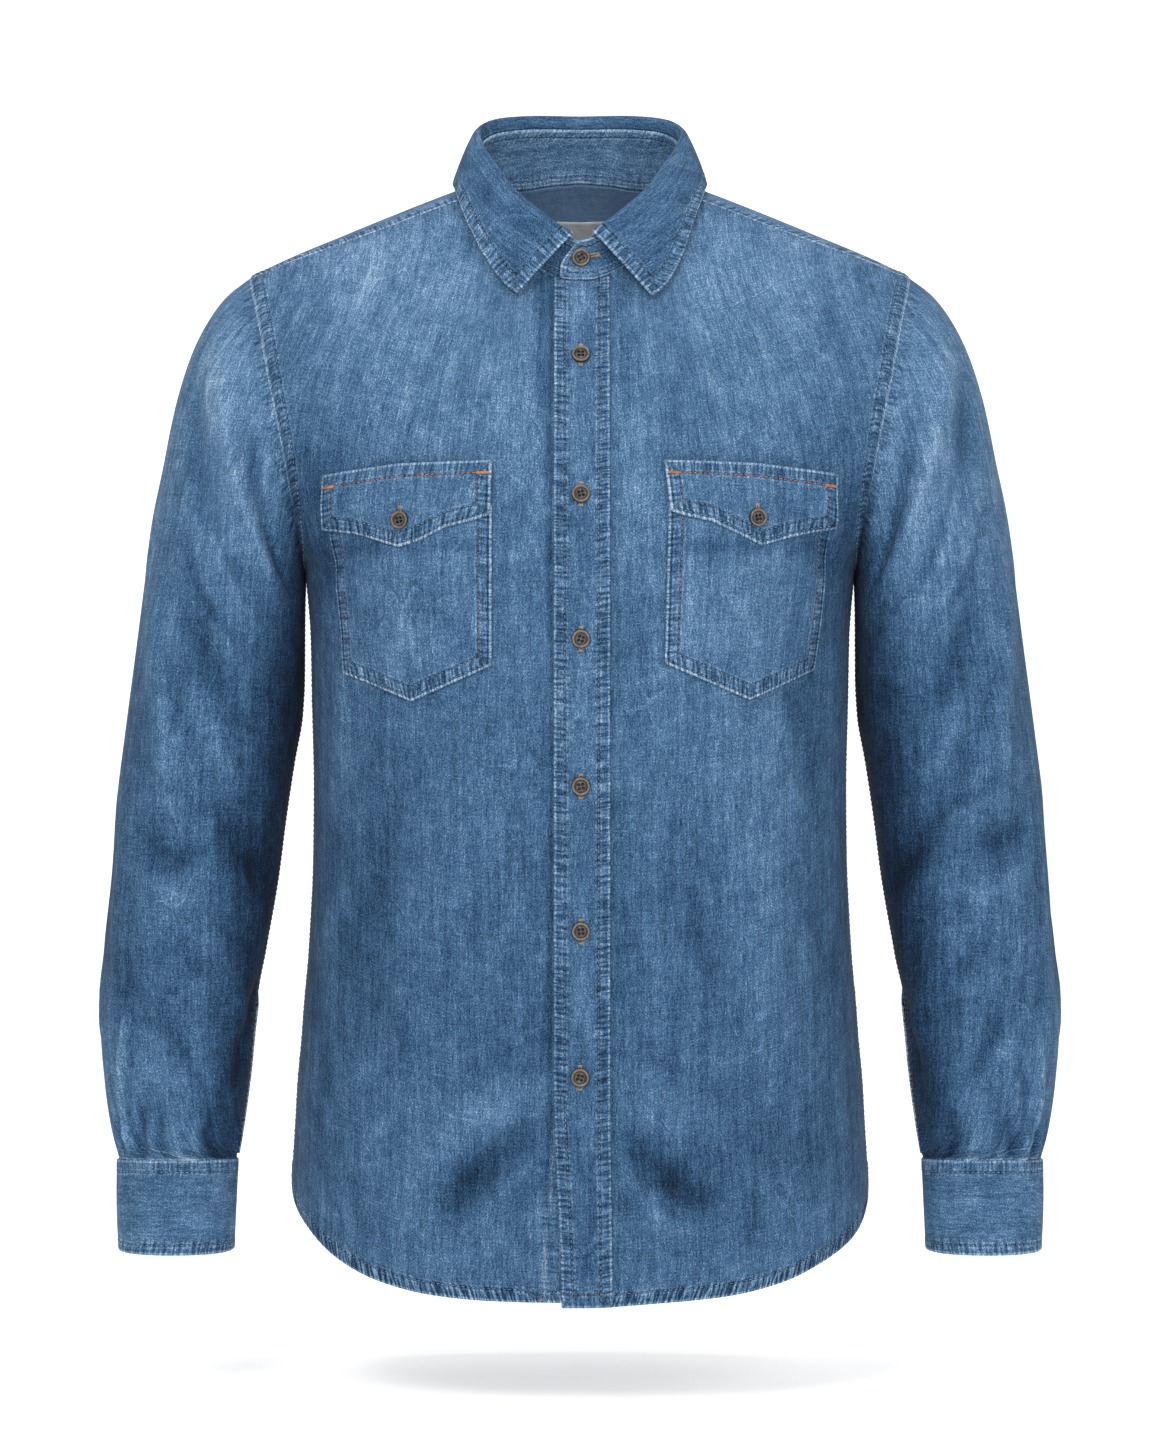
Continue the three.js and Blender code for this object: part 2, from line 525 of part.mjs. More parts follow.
// The yoke's and back's shared corners take the same way in as the ring does.
for (const [col, backCol, front] of [[yokeTop.length - 1, 2 * halfBack, leftFront], [0, 0, rightFront]]) {
  yokePanel[0][col].off.copy(front[front.length - 1][count - 1].off);
  yokePanel[yokeRows][col].off.copy(backPanel[lowRows + backRows][backCol].off);
  backPanel[lowRows][backCol].off.copy(front[lowRows][count - 1].off);
}

add('front_left', wallGeometry(pullBack(leftFront, ['last', 'high'])));
add('front_right', wallGeometry(pullBack(rightFront, ['last', 'high'])), 0x4c6e94);
add('back', wallGeometry(pullBack(backPanel, ['last', 'low', 'high'])), 0x4a6c92);
add('yoke', wallGeometry(pullBack(yokePanel, ['first', 'last', 'low', 'high'])), 0x5a7ca1);
add('sleeve_left', wallGeometry(pullBack(sleeveLeft, ['first']), true), 0x46698f);
add('sleeve_right', wallGeometry(pullBack(sleeveRight, ['first']), true), 0x46698f);

// The button band lies on the left front's first columns, moved out.
const raise = (cell, from, thick) => ({ p: cell.p.clone().addScaledVector(cell.n, from + thick), n: cell.n, off: cell.n.clone().multiplyScalar(-thick) });
add('placket_band', wallGeometry(pullBack(leftFront.map(row => row.slice(0, 4).map(c => raise(c, 0.4, sizes.band))), ['last'], 0.6)), 0x5b7b9f);

// Reads a front's own facets, so that a patch follows them.
function facetReader(grid) {
  const tris = [];
  for (let i = 0; i < grid.length - 1; i++) {
    for (let j = 0; j < grid[0].length - 1; j++) {
      const [a, b, c, d] = [grid[i][j].p, grid[i][j + 1].p, grid[i + 1][j + 1].p, grid[i + 1][j].p];
      if (a.distanceTo(c) <= b.distanceTo(d)) tris.push([a, b, c], [a, c, d]);
      else tris.push([a, b, d], [b, c, d]);
    }
  }
  return (x, z) => {
    for (const [a, b, c] of tris) {
      const det = (b.x - a.x) * (c.z - a.z) - (c.x - a.x) * (b.z - a.z);
      if (Math.abs(det) < 1e-9) continue;
      const u = ((x - a.x) * (c.z - a.z) - (c.x - a.x) * (z - a.z)) / det;
      const v = ((b.x - a.x) * (z - a.z) - (x - a.x) * (b.z - a.z)) / det;
      if (u >= -1e-6 && v >= -1e-6 && u + v <= 1 + 1e-6) return vec(x, a.y + u * (b.y - a.y) + v * (c.y - a.y), z);
    }
    return vec(x, bodyY(x, z, -1), z);
  };
}
const facet = { left: facetReader(leftFront), right: facetReader(rightFront) };

// Chest pockets and flaps, in front view: the wearer's right one first.
const pocketForm = {
  right: {
    body: { top: [[-165.5, -215], [-57.5, -215]], low: [[-152.5, -324], [-109.5, -342.5], [-57.5, -319.5]] },
    flap: {
      top: [[-167, -194.5], [-117, -188.6], [-57.5, -187.2]],
      low: [[-167, -228.5], [-147, -232], [-131, -237], [-117, -241.5], [-103, -237.5], [-87, -229.5], [-73, -226], [-58.5, -222]],
    },
  },
  left: {
    body: { top: [[58, -215], [165.5, -215]], low: [[55, -318], [110, -341.5], [154, -322]] },
    flap: {
      top: [[55, -187], [114, -188.4], [167, -193.5]],
      low: [[59, -219.5], [70, -222.5], [85, -225.5], [100, -232.5], [117, -240.5], [134, -235], [150, -231.5], [166, -228]],
    },
  },
};
function lineAt(points, u) {
  const t = u * (points.length - 1);
  const i = Math.min(points.length - 2, Math.floor(t));
  return points[i].map((v, c) => mix(v, points[i + 1][c], t - i));
}
function patchGrid(form, side, across, down, from, thick) {
  return [...Array(down + 1).keys()].map(i => [...Array(across + 1).keys()].map(j => {
    const a = lineAt(form.top, j / across);
    const b = lineAt(form.low, j / across);
    const p = facet[side](mix(a[0], b[0], i / down), mix(a[1], b[1], i / down));
    const n = bodyNormal(p);
    return { p: p.addScaledVector(n, from + thick), n, off: n.clone().multiplyScalar(-thick) };
  }));
}
for (const side of ['left', 'right']) {
  add('pocket_' + side, wallGeometry(patchGrid(pocketForm[side].body, side, 14, 6, sizes.layer, sizes.patch)), 0x55779c);
  add('pocket_flap_' + side, wallGeometry(patchGrid(pocketForm[side].flap, side, 16, 3, sizes.layer + sizes.patch + sizes.underFlap, sizes.flap)), 0x5b7ca1);
}

// Collar stand: a band that rises from the neck seam and laps in front.
const standForm = table(['turn', 'topY', 'topZ'], [
  [0, 46, 50], [20, 43.5, 49.8], [45, 33, 45.5], [90, 2, 31], [125, -37, 9], [138, -50, -6], [152, -61, -19], [166, -70, -31], [176, -74, -37.5], [180, -74.5, -38.5], [192, -72, -41],
]);
// The neck seam, from the under end in front round the back to the over end, as the panels' own corners.
const neckSeam = [];
for (let j = 0; j <= neckColumn; j++) neckSeam.push({ turn: -180 + Math.asin(clamp(-rightFront[rightFront.length - 1][j].p.x / neck.half, -1, 1)) / deg, p: rightFront[rightFront.length - 1][j].p });
for (let k = 1; k < 16; k++) {
  const t = k <= 8 ? mix(neckCorner, 0, (k / 8) ** 0.9) : mix(neckCorner, 0, ((16 - k) / 8) ** 0.9);
  neckSeam.push({ turn: k <= 8 ? -t : t, p: yokePanel[0][shoulderColumns + k].p });
}
for (let j = neckColumn; j >= 0; j--) neckSeam.push({ turn: 180 - Math.asin(clamp(leftFront[leftFront.length - 1][j].p.x / neck.half, -1, 1)) / deg, p: leftFront[leftFront.length - 1][j].p });
neckSeam[0] = { turn: mix(neckSeam[0].turn, neckSeam[1].turn, 0.4), p: neckSeam[0].p.clone().lerp(neckSeam[1].p, 0.4) };
{
  const end = neckSeam.length - 1;
  neckSeam[end] = { turn: mix(neckSeam[end].turn, neckSeam[end - 1].turn, 0.33), p: neckSeam[end].p.clone().lerp(neckSeam[end - 1].p, 0.33) };
}
const standOut = turn => vec(Math.sin(turn * deg) / 72, Math.cos(turn * deg) / 62, 0).normalize();
function standTop(turn) {
  const a = Math.abs(turn);
  const lap = turn > 0 ? 1.2 * ease(160, 176, a) : -1.9 * ease(150, 164, a);
  return vec(67.6 * Math.sin(turn * deg), standForm.topY(a), standForm.topZ(a)).addScaledVector(standOut(turn), lap);
}
function standPoint(turn, base, v) {
  const lap = turn > 0 ? 1.2 * ease(160, 176, turn) * (1 - v) : 0;
  return base.clone().lerp(standTop(turn), v).addScaledVector(standOut(turn), lap + 1.6 * Math.sin(Math.PI * v));
}
const standRows = 3;
function standGrid() {
  const grid = [...Array(standRows + 1).keys()].map(i => neckSeam.map(({ turn, p }, j) => {
    const v = i / standRows;
    // The over end is rounded at its top corner.
    const back = j === neckSeam.length - 1 ? 9 * Math.max(0, v - 0.3) ** 1.7 * 1.8 : 0;
    const point = standPoint(turn - back, p, mix(0.02, 0.99, v));
    if (v === 0) point.z += 0.15;
    return { p: point, out: standOut(turn) };
  }));
  const normals = gridNormals(grid.map(row => row.map(c => c.p)), false, (p, i, j) => grid[i][j].out);
  return grid.map((row, i) => row.map((c, j) => ({ p: c.p, n: normals[i][j], off: normals[i][j].clone().multiplyScalar(-sizes.stand) })));
}
const stand = standGrid();
add('collar_stand', wallGeometry(stand), 0x4e7095);

// Collar leaf: rises from the stand's top edge, rolls over and falls to its own edge on the yoke and fronts.
const leafEdge = table(['turn', 'x', 'w'], [
  [0, 0, 43], [20, 32, 40], [40, 61, 32], [58, 78, 19], [75, 83.5, 3], [90, 84.2, -8], [108, 82, -24], [126, 76.5, -42], [142, 69, -57],
  [156, 60, -70], [168, 50, -80.5], [176, 41.5, -86.4],
]);
const leafEnds = { right: -175.6, left: 173.2 };
const leafRoll = table(['turn', 'rise', 'out'], [[0, 8.8, 6.8], [90, 7.4, 5.4], [125, 7, 5.6], [150, 6, 5.8], [170, 4.6, 5.8], [177, 3.6, 5.4]]);
const leafTurns = [leafEnds.right, ...neckSeam.map(c => c.turn).filter(t => t > leafEnds.right + 2 && t < leafEnds.left - 2), leafEnds.left];
function leafGrid() {
  const columns = leafTurns.map(turn => {
    const a = Math.abs(turn);
    const s = Math.sign(turn || 1);
    const top = { p: standTop(turn), out: standOut(turn) };
    const spread = turn < 0 ? 176 * a / 175.6 : 176 * a / 173.2;
    const edgeX = leafEdge.x(spread) + (turn > 0 ? 6 * ease(120, 173, a) : 0);
    const edge = turned(edgeX * s, leafEdge.w(spread));
    const end = edge.p.clone().addScaledVector(edge.n, 5.2);
    const out = top.out;
    const rise = leafRoll.rise(a);
    const wide = leafRoll.out(a);
    const up = vec(0, 0, 1);
    const start = top.p.clone().addScaledVector(up, 0.9).addScaledVector(out, -1.4);
    const over = start.clone().addScaledVector(up, rise * 0.76).addScaledVector(out, wide + 1.4);
    const fall = end.clone().sub(over);
    const lift = out.clone().add(vec(0, 0, 0.4)).normalize();
    return {
      out,
      line: [
        start,
        start.clone().addScaledVector(up, rise * 0.55).addScaledVector(out, 0.1 * wide),
        start.clone().addScaledVector(up, rise).addScaledVector(out, 0.48 * wide),
        over,
        over.clone().addScaledVector(fall, 0.14).addScaledVector(lift, 1.6),
        over.clone().addScaledVector(fall, 0.34).addScaledVector(lift, 2.4),
        over.clone().addScaledVector(fall, 0.56).addScaledVector(lift, 2.2),
        over.clone().addScaledVector(fall, 0.78).addScaledVector(lift, 1.3),
        end,
      ],
    };
  });
  const points = columns[0].line.map((_, i) => columns.map(c => c.line[i]));
  const normals = gridNormals(points, false, (p, i, j) => i === 0 ? columns[j].out.clone().negate()
    : i === 1 ? columns[j].out.clone().negate() : i === 2 ? vec(0, 0, 1) : columns[j].out);
  return points.map((row, i) => row.map((p, j) => ({ p, n: normals[i][j], off: normals[i][j].clone().multiplyScalar(-sizes.leaf) })));
}
const leaf = leafGrid();
add('collar_leaf', wallGeometry(leaf), 0x4a6c92);

// Neck label on the yoke's inner face.
const labelForm = { x: 2, half: 18.5, top: -9, drop: 44, thick: 1 };
add('neck_label', wallGeometry([...Array(5).keys()].map(i => [...Array(4).keys()].map(j => {
  const { p, n } = bodyPoint(labelForm.x + labelForm.half * (j * 2 / 3 - 1), labelForm.top - labelForm.drop * i / 4, 1);
  return { p: p.addScaledVector(n, -sizes.cloth - 0.9), n, off: n.clone().multiplyScalar(-labelForm.thick) };
}))), 0x85898d, 0.9);

// Cuffs: a band round the wrist whose over end laps the under end at the back.
const cuffForm = {
  top: { outX: 309, inX: 228, z: -648.3, front: 36, back: 36 },
  low: { outX: 308, inX: 230.8, z: -707.4, front: 35, back: 35 },
  midY: -40,
  start: -140,
  lap: 30,
};
function cuffPoint(turn, v, flip, out = 0) {
  const { top, low } = cuffForm;
  const outX = mix(top.outX, low.outX, v) + 0.8 * Math.sin(Math.PI * v);
  const inX = mix(top.inX, low.inX, v);
  const c = Math.cos(turn * deg);
  const r = Math.sin(turn * deg);
  const k = 2 / 2.2;
  const x = (outX + inX) / 2 + Math.sign(c) * Math.abs(c) ** k * ((outX - inX) / 2 + out);
  const y = cuffForm.midY - Math.sign(r) * Math.abs(r) ** k * (mix(top.front, low.front, v) + out);
  const z = mix(top.z, low.z, v) - 0.8 * v * Math.max(0, r) + 1.8 * (1 - v) * Math.max(0, r);
  return vec(x * flip, y, z);
}
const cuffSteps = 32;
const cuffRows = 3;
function cuffGrid(flip) {
  const { start, lap } = cuffForm;
  const spread = [...Array(cuffRows + 1).keys()].map(i => [...Array(cuffSteps + 1).keys()].map(j => {
    const turn = start + lap / 2 + 4 - (360 + lap) * j / cuffSteps;      // the over end comes last
    const out = 2.6 * ease(cuffSteps - 7, cuffSteps - 3, j);
    return cuffPoint(turn, i / cuffRows, flip, out);
  }));
  const normals = gridNormals(spread, false, p => p.clone().sub(vec(268 * flip, cuffForm.midY, p.z)));
  return spread.map((row, i) => row.map((p, j) => ({ p, n: normals[i][j], off: normals[i][j].clone().multiplyScalar(-sizes.cuff) })));
}
add('cuff_left', wallGeometry(cuffGrid(1)), 0x4f6f93);
add('cuff_right', wallGeometry(cuffGrid(-1)), 0x4f6f93);

// Slit strips at the back of the sleeves, read from the sleeve's own facets.
function sleeveFacet(grid, turn, s) {
  let i = 0;
  while (i < sleeveRows.length - 2 && sleeveRows[i + 1] < s) i++;
  const v = (s - sleeveRows[i]) / (sleeveRows[i + 1] - sleeveRows[i]);
  const cols = grid[0].length;
  const row = k => grid[k].map(c => c.turn);
  const find = k => {
    const t = row(k);
    for (let j = 0; j < cols; j++) {
      const a = t[j];
      const b = j + 1 < cols ? t[j + 1] : t[0] + 360;
      let d = turn;
      while (d < a) d += 360;
      while (d > a + 360) d -= 360;
      if (d >= a && d < b) return { j, u: (d - a) / (b - a) };
    }
    return { j: 0, u: 0 };
  };
  const at = (k, { j, u }, what) => grid[k][j][what].clone().lerp(grid[k][(j + 1) % cols][what], u);
  const lower = find(i);
  const upper = find(i + 1);
  return { p: at(i, lower, 'p').lerp(at(i + 1, upper, 'p'), v), n: at(i, lower, 'n').lerp(at(i + 1, upper, 'n'), v).normalize() };
}
const stripForm = { turn: -155, half: 15, from: 13.85, to: 10.9, tip: 10.6, thick: 1.2 };
for (const [name, grid] of [['left', sleeveLeft], ['right', sleeveRight]]) {
  add('sleeve_placket_' + name, wallGeometry([...Array(9).keys()].map(i => [...Array(5).keys()].map(j => {
    const u = j / 2 - 1;
    const end = mix(stripForm.to, stripForm.tip, 1 - Math.abs(u));
    const { p, n } = sleeveFacet(grid, stripForm.turn + stripForm.half * u, mix(stripForm.from, end, i / 8));
    return { p: p.addScaledVector(n, 0.7 + stripForm.thick), n, off: n.clone().multiplyScalar(-stripForm.thick) };
  }))), 0x4a6c92);
}

// Buttons: turned discs with a raised rim, each held flat on its cloth.
const buttonProfile = [[0, 0.3], [5.3, 0.3], [6.2, 1.1], [6.1, 2.2], [5.3, 2.6], [4, 1.9], [0, 1.75]];
function buttonGeometry(at, normal) {
  const steps = 18;
  const pos = [];
  const index = [];
  const side = vec(1, 0, 0).addScaledVector(normal, -normal.x).normalize();
  const up = normal.clone().cross(side);
  const put = (r, h, a) => { const p = at.clone().addScaledVector(side, r * Math.cos(a)).addScaledVector(up, r * Math.sin(a)).addScaledVector(normal, h); pos.push(p.x, p.y, p.z); };
  put(0, buttonProfile[0][1], 0);
  const rings = buttonProfile.slice(1, -1);
  for (const [r, h] of rings) for (let k = 0; k < steps; k++) put(r, h, 2 * Math.PI * k / steps);
  put(0, buttonProfile[buttonProfile.length - 1][1], 0);
  const end = pos.length / 3 - 1;
  for (let k = 0; k < steps; k++) {
    const l = (k + 1) % steps;
    index.push(0, 1 + l, 1 + k);
    for (let i = 0; i < rings.length - 1; i++) {
      const [a, b, c, d] = [1 + i * steps + k, 1 + i * steps + l, 1 + (i + 1) * steps + l, 1 + (i + 1) * steps + k];
      index.push(a, b, c, a, c, d);
    }
    index.push(end, 1 + (rings.length - 1) * steps + k, 1 + (rings.length - 1) * steps + l);
  }
  return outward(pos, index);
}
const horn = { hue: 0x6f645c, rough: 0.45, metal: 0.25 };
const addButton = (name, p, n, from) => add(name, buttonGeometry(p.clone().addScaledVector(n, from), n), horn.hue, horn.rough, horn.metal);
const frontButtons = [-116.5, -208.5, -302.5, -398, -492, -586.5];
frontButtons.forEach((z, k) => {
  const { p, n } = bodyPoint(k === 5 ? 0 : 0.6, z, -1);
  addButton('button_front_' + (k + 1), p, n, 0.4 + sizes.band + 0.15);
});
for (const [side, x, z] of [['right', -115.7, -224.5], ['left', 114, -223]]) {
  const p = facet[side](x, z);
  addButton('button_pocket_' + side, p, bodyNormal(p), sizes.layer + sizes.patch + sizes.underFlap + sizes.flap + 0.3);
}
{
  const p = standPoint(180, turned(0, neck.front).p, 0.5);
  p.x = 0.7;
  p.z = -50;
  addButton('button_collar', p, vec(0, -1, 0.12).normalize(), 0.6);
}
for (const [side, flip] of [['left', 1], ['right', -1]]) {
  const { start, lap } = cuffForm;
  const turn = start - lap / 2 + 4 + 14;
  const p = cuffPoint(turn, 0.5, flip, 2.6);
  const n = vec(Math.cos(turn * deg) / 41 * flip, -Math.sin(turn * deg) / 36, 0).normalize();
  addButton('button_cuff_' + side, p, n, 0.2);
}

export default group;
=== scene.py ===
import json
import math

import bpy
import numpy as np
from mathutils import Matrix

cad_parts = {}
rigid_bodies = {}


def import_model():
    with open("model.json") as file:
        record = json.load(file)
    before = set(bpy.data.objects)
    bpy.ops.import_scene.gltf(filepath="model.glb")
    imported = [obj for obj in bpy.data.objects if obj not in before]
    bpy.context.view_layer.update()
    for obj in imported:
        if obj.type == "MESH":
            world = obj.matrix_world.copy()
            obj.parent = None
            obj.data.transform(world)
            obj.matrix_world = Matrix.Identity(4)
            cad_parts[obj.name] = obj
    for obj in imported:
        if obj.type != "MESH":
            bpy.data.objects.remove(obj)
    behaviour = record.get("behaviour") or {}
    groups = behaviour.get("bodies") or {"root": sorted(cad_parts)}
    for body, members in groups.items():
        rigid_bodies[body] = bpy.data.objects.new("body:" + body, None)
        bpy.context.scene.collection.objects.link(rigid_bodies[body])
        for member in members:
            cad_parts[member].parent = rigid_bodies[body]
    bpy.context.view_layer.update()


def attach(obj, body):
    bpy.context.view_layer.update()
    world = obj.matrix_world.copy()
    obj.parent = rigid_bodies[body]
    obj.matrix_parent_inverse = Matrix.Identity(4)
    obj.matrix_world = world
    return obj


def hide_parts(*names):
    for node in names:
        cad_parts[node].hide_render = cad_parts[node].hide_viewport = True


# A washed denim shirt, filled out as if worn, with nobody in it.
# Sizes are worked out in millimetres and turned to metres as each mesh is made.

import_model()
print("frame loaded")

deg = math.pi / 180


def clamp(v, lo, hi):
    return np.minimum(hi, np.maximum(lo, v))


def mix(a, b, t):
    return a + (b - a) * t


def ease(a, b, v):
    t = clamp((np.asarray(v, float) - a) / (b - a), 0, 1)
    return t * t * (3 - 2 * t)


def unit(v):
    return v / np.maximum(1e-12, np.linalg.norm(v, axis=-1, keepdims=True))


def stack(x, y, z):
    return np.stack(np.broadcast_arrays(x, y, z), axis=-1).astype(float)


# A table read along its first column by a curve that never overshoots.
def curve(key, val):
    step = np.diff(val) / np.diff(key)
    slope = np.concatenate([[step[0]], np.zeros(len(val) - 2), [step[-1]]])
    same = step[:-1] * step[1:] > 0
    slope[1:-1][same] = 2 * step[:-1][same] * step[1:][same] / (step[:-1][same] + step[1:][same])

    def at(t):
        t = np.asarray(t, float)
        inner = clamp(t, key[0], key[-1])
        i = clamp(np.searchsorted(key, inner, side="right") - 1, 0, len(key) - 2).astype(int)
        h = key[i + 1] - key[i]
        u = (inner - key[i]) / h
        y = (1 + 2 * u) * (1 - u) ** 2 * val[i] + u * (1 - u) ** 2 * h * slope[i]
        y = y + u * u * (3 - 2 * u) * val[i + 1] + u * u * (u - 1) * h * slope[i + 1]
        return y + np.minimum(0, t - key[0]) * slope[0] + np.maximum(0, t - key[-1]) * slope[-1]

    return at


def table(names, rows):
    rows = np.array(rows, float)
    return {name: curve(rows[:, 0], rows[:, c + 1]) for c, name in enumerate(names[1:])}


# Smooth seeded noise between -1 and 1, of one or two coordinates.
def noise(u, v=0.0, seed=1):
    grid = np.random.default_rng(seed).uniform(-1, 1, (256, 256))
    u, v = np.broadcast_arrays(np.asarray(u, float), np.asarray(v, float))
    i, j = np.floor(u).astype(int), np.floor(v).astype(int)
    a, b = u - i, v - j
    a, b = a * a * (3 - 2 * a), b * b * (3 - 2 * b)
    g = lambda k, l: grid[(i + k) % 256, (j + l) % 256]
    return mix(mix(g(0, 0), g(1, 0), a), mix(g(0, 1), g(1, 1), a), b)


square = 2.4
arch = 100.0
armpit = -254.0
cloth = 1.2

sideForm = table(("z", "half"), [
    (-760, 196), (-700, 195), (-660, 194), (-625, 192), (-598, 190.5), (-571, 188), (-544, 186),
    (-517, 183.5), (-490, 181.8), (-450, 180), (-400, 179.5), (-341, 180.8), (-300, 181.6), (-254, 185.3),
])
depthForm = table(("z", "front", "back"), [
    (-760, 144, 132), (-700, 141, 130), (-620, 138, 126), (-540, 135, 119), (-460, 134, 113), (-380, 134, 114),
    (-300, 133, 121), (-240, 129, 128), (-180, 119, 131), (-140, 106, 129), (-100, 88, 123), (-70, 73, 116),
    (-40, 66, 106), (0, 62, 92), (30, 60, 82),
])
armForm = table(("z", "x", "share"), [
    (-254, 185.3, 0.62), (-234, 187, 0.62), (-213, 190, 0.63), (-161, 199, 0.64), (-123, 207, 0.69),
    (-93, 213, 0.75), (-61, 221, 0.8), (-40, 226, 0.82), (30, 242, 0.85),
])
shoulderForm = table(("x", "z"), [
    (0, 30), (17, 27.5), (40, 19.5), (60, 12), (73, 6.5), (88, 1), (120, -11.5), (160, -27.8), (200, -44.6), (224, -57), (240, -66),
])


def spanAt(z):
    low = clamp((-z - 150) / 104, 0, 1)
    share = armForm["share"](z) * np.sqrt(np.maximum(0, 1 - low * low))
    high = armForm["x"](z) / np.maximum(1e-9, 1 - share**square) ** (1 / square)
    return np.where(z <= armpit, sideForm["half"](z), high)


# Long soft folds, troughs below zero, as lines in front view: x0 z0 x1 z1 width height.
frontFolds = [
    (-20, -612, -96, -682, 11, -4.5), (-26, -590, -120, -668, 13, 3.2), (22, -612, 92, -676, 10, -4),
    (30, -592, 128, -662, 12, 2.6), (100, -688, 128, -678, 8, -1.8), (-60, -380, -92, -560, 20, 2.6),
    (-118, -400, -132, -580, 17, -3), (72, -372, 96, -545, 19, -2.4), (126, -390, 140, -600, 16, 2.6),
    (-146, -300, -164, -420, 12, 2.6), (150, -300, 162, -430, 12, -2.2), (38, -250, 44, -400, 13, -1.4),
    (-172, -262, -120, -205, 9, -2.2), (172, -262, 126, -208, 9, -2.2),
]
backFolds = [
    (-46, -140, -62, -420, 17, 3.4), (-20, -150, -30, -330, 13, -2.4), (44, -135, 70, -450, 18, 3.6),
    (18, -160, 24, -300, 12, -2.2), (-110, -330, -60, -560, 19, -3.2), (104, -350, 72, -600, 18, -3),
    (-150, -280, -96, -360, 13, -2.8), (148, -286, 100, -350, 12, 2.8), (-132, -480, -140, -650, 16, 2.8),
    (126, -500, 138, -660, 17, 2.6), (6, -420, -4, -640, 20, 2.2),
]
# Shorter creases that only the finished cloth has.
frontCreases = [
    (-24, -636, -70, -690, 5, 1.3), (26, -640, 74, -694, 5, 1.2), (-34, -560, -74, -606, 7, -1.0),
    (36, -556, 84, -598, 7, -1.1), (-40, -470, -58, -548, 8, 0.9), (44, -452, 60, -540, 8, 0.9),
    (-150, -455, -172, -520, 7, 1.1), (156, -470, 174, -540, 7, -1.1), (-92, -600, -150, -640, 7, 1.0),
    (96, -590, 156, -636, 8, -1.0), (-128, -372, -152, -410, 6, -0.9), (134, -360, 150, -420, 6, 0.9),
    (-34, -196, -52, -276, 7, -0.8), (34, -150, 46, -236, 7, 0.8), (-150, -190, -176, -236, 5, 1.2),
    (150, -186, 174, -230, 5, 1.2), (-80, -100, -60, -170, 8, -0.7), (78, -104, 62, -172, 8, -0.7),
    (-172, -560, -180, -640, 6, 1.1), (172, -570, 182, -650, 6, 1.0),
]
backCreases = [
    (-80, -120, -100, -240, 8, 1.2), (84, -124, 96, -250, 8, 1.1), (-140, -230, -176, -290, 7, -1.3),
    (140, -226, 176, -286, 7, -1.2), (-30, -470, -64, -540, 8, 1.0), (40, -480, 66, -560, 8, -1.0),
    (-120, -600, -90, -690, 8, 1.1), (110, -610, 84, -700, 8, 1.0), (-160, -400, -120, -440, 8, 1.1),
    (160, -396, 116, -452, 8, 1.0), (0, -640, 14, -720, 8, -0.9),
]


def foldHeight(folds, x, z):
    total = 0.0
    for x0, z0, x1, z1, width, height in folds:
        dx, dz = x1 - x0, z1 - z0
        long = math.hypot(dx, dz)
        along = ((x - x0) * dx + (z - z0) * dz) / long**2
        off = ((x - x0) * dz - (z - z0) * dx) / long - 0.06 * long * np.sin(np.pi * clamp(along, 0, 1))
        total = total + height * ease(-0.18, 0.3, along) * (1 - ease(0.6, 1.2, along)) * np.exp(-((off / width) ** 2))
    return total


def bodyY(x, z, side):
    across = np.maximum(0, 1 - np.minimum(1, np.abs(x) / spanAt(z)) ** square) ** (1 / square)
    c = clamp(1 - (shoulderForm["z"](np.abs(x)) - z) / arch, 0, 1)
    return side * np.where(side < 0, depthForm["front"](z), depthForm["back"](z)) * across * np.sqrt(1 - c * c)


def bodyNormal(p, side):
    def f(x, y, z):
        across = np.maximum(0, 1 - (np.abs(x) / spanAt(z)) ** square) ** (2 / square)
        c = np.maximum(0, 1 - (shoulderForm["z"](np.abs(x)) - z) / arch)
        return (y / np.where(side < 0, depthForm["front"](z), depthForm["back"](z))) ** 2 - across * (1 - c * c)

    x, y, z, h = p[..., 0], p[..., 1], p[..., 2], 0.05
    return unit(stack(f(x + h, y, z) - f(x - h, y, z), f(x, y + h, z) - f(x, y - h, z), f(x, y, z + h) - f(x, y, z - h)))


perDegree = arch * deg


def heightAt(x, w):
    a = np.abs(w)
    return shoulderForm["z"](np.abs(x)) - arch * (1 - np.cos(np.minimum(a, 90) * deg)) - np.maximum(0, a - 90) * perDegree


def turnAt(x, z):
    drop = shoulderForm["z"](np.abs(x)) - z
    return np.where(drop < arch, np.arccos(clamp(1 - drop / arch, -1, 1)) / deg, 90 + (drop - arch) / perDegree)


def bodyPoint(x, z, side, fine=1.0):
    x, z, side = np.broadcast_arrays(np.asarray(x, float), np.asarray(z, float), np.asarray(side, float))
    p = stack(x, bodyY(x, z, side), z)
    n = bodyNormal(p, side)
    rim = ease(0, 26, spanAt(z) - np.abs(x)) * ease(4, 40, shoulderForm["z"](np.abs(x)) - z)
    front = foldHeight(frontFolds, x, z) + fine * foldHeight(frontCreases, x, z)
    back = foldHeight(backFolds, x, z) + fine * foldHeight(backCreases, x, z)
    fold = rim * np.where(side < 0, front, back)
    return p + n * fold[..., None], n, fold


def turned(x, w, fine=1.0):
    return bodyPoint(x, heightAt(x, w), np.where(np.asarray(w) < 0, -1, 1), fine)


# Seam lines, as in the frame.
def neckAt(turn):
    c = np.cos(turn * deg)
    return 72 * np.sin(turn * deg), np.where(c > 0, 33.8 * c, -86.6 * np.maximum(0, -c) ** 1.2)


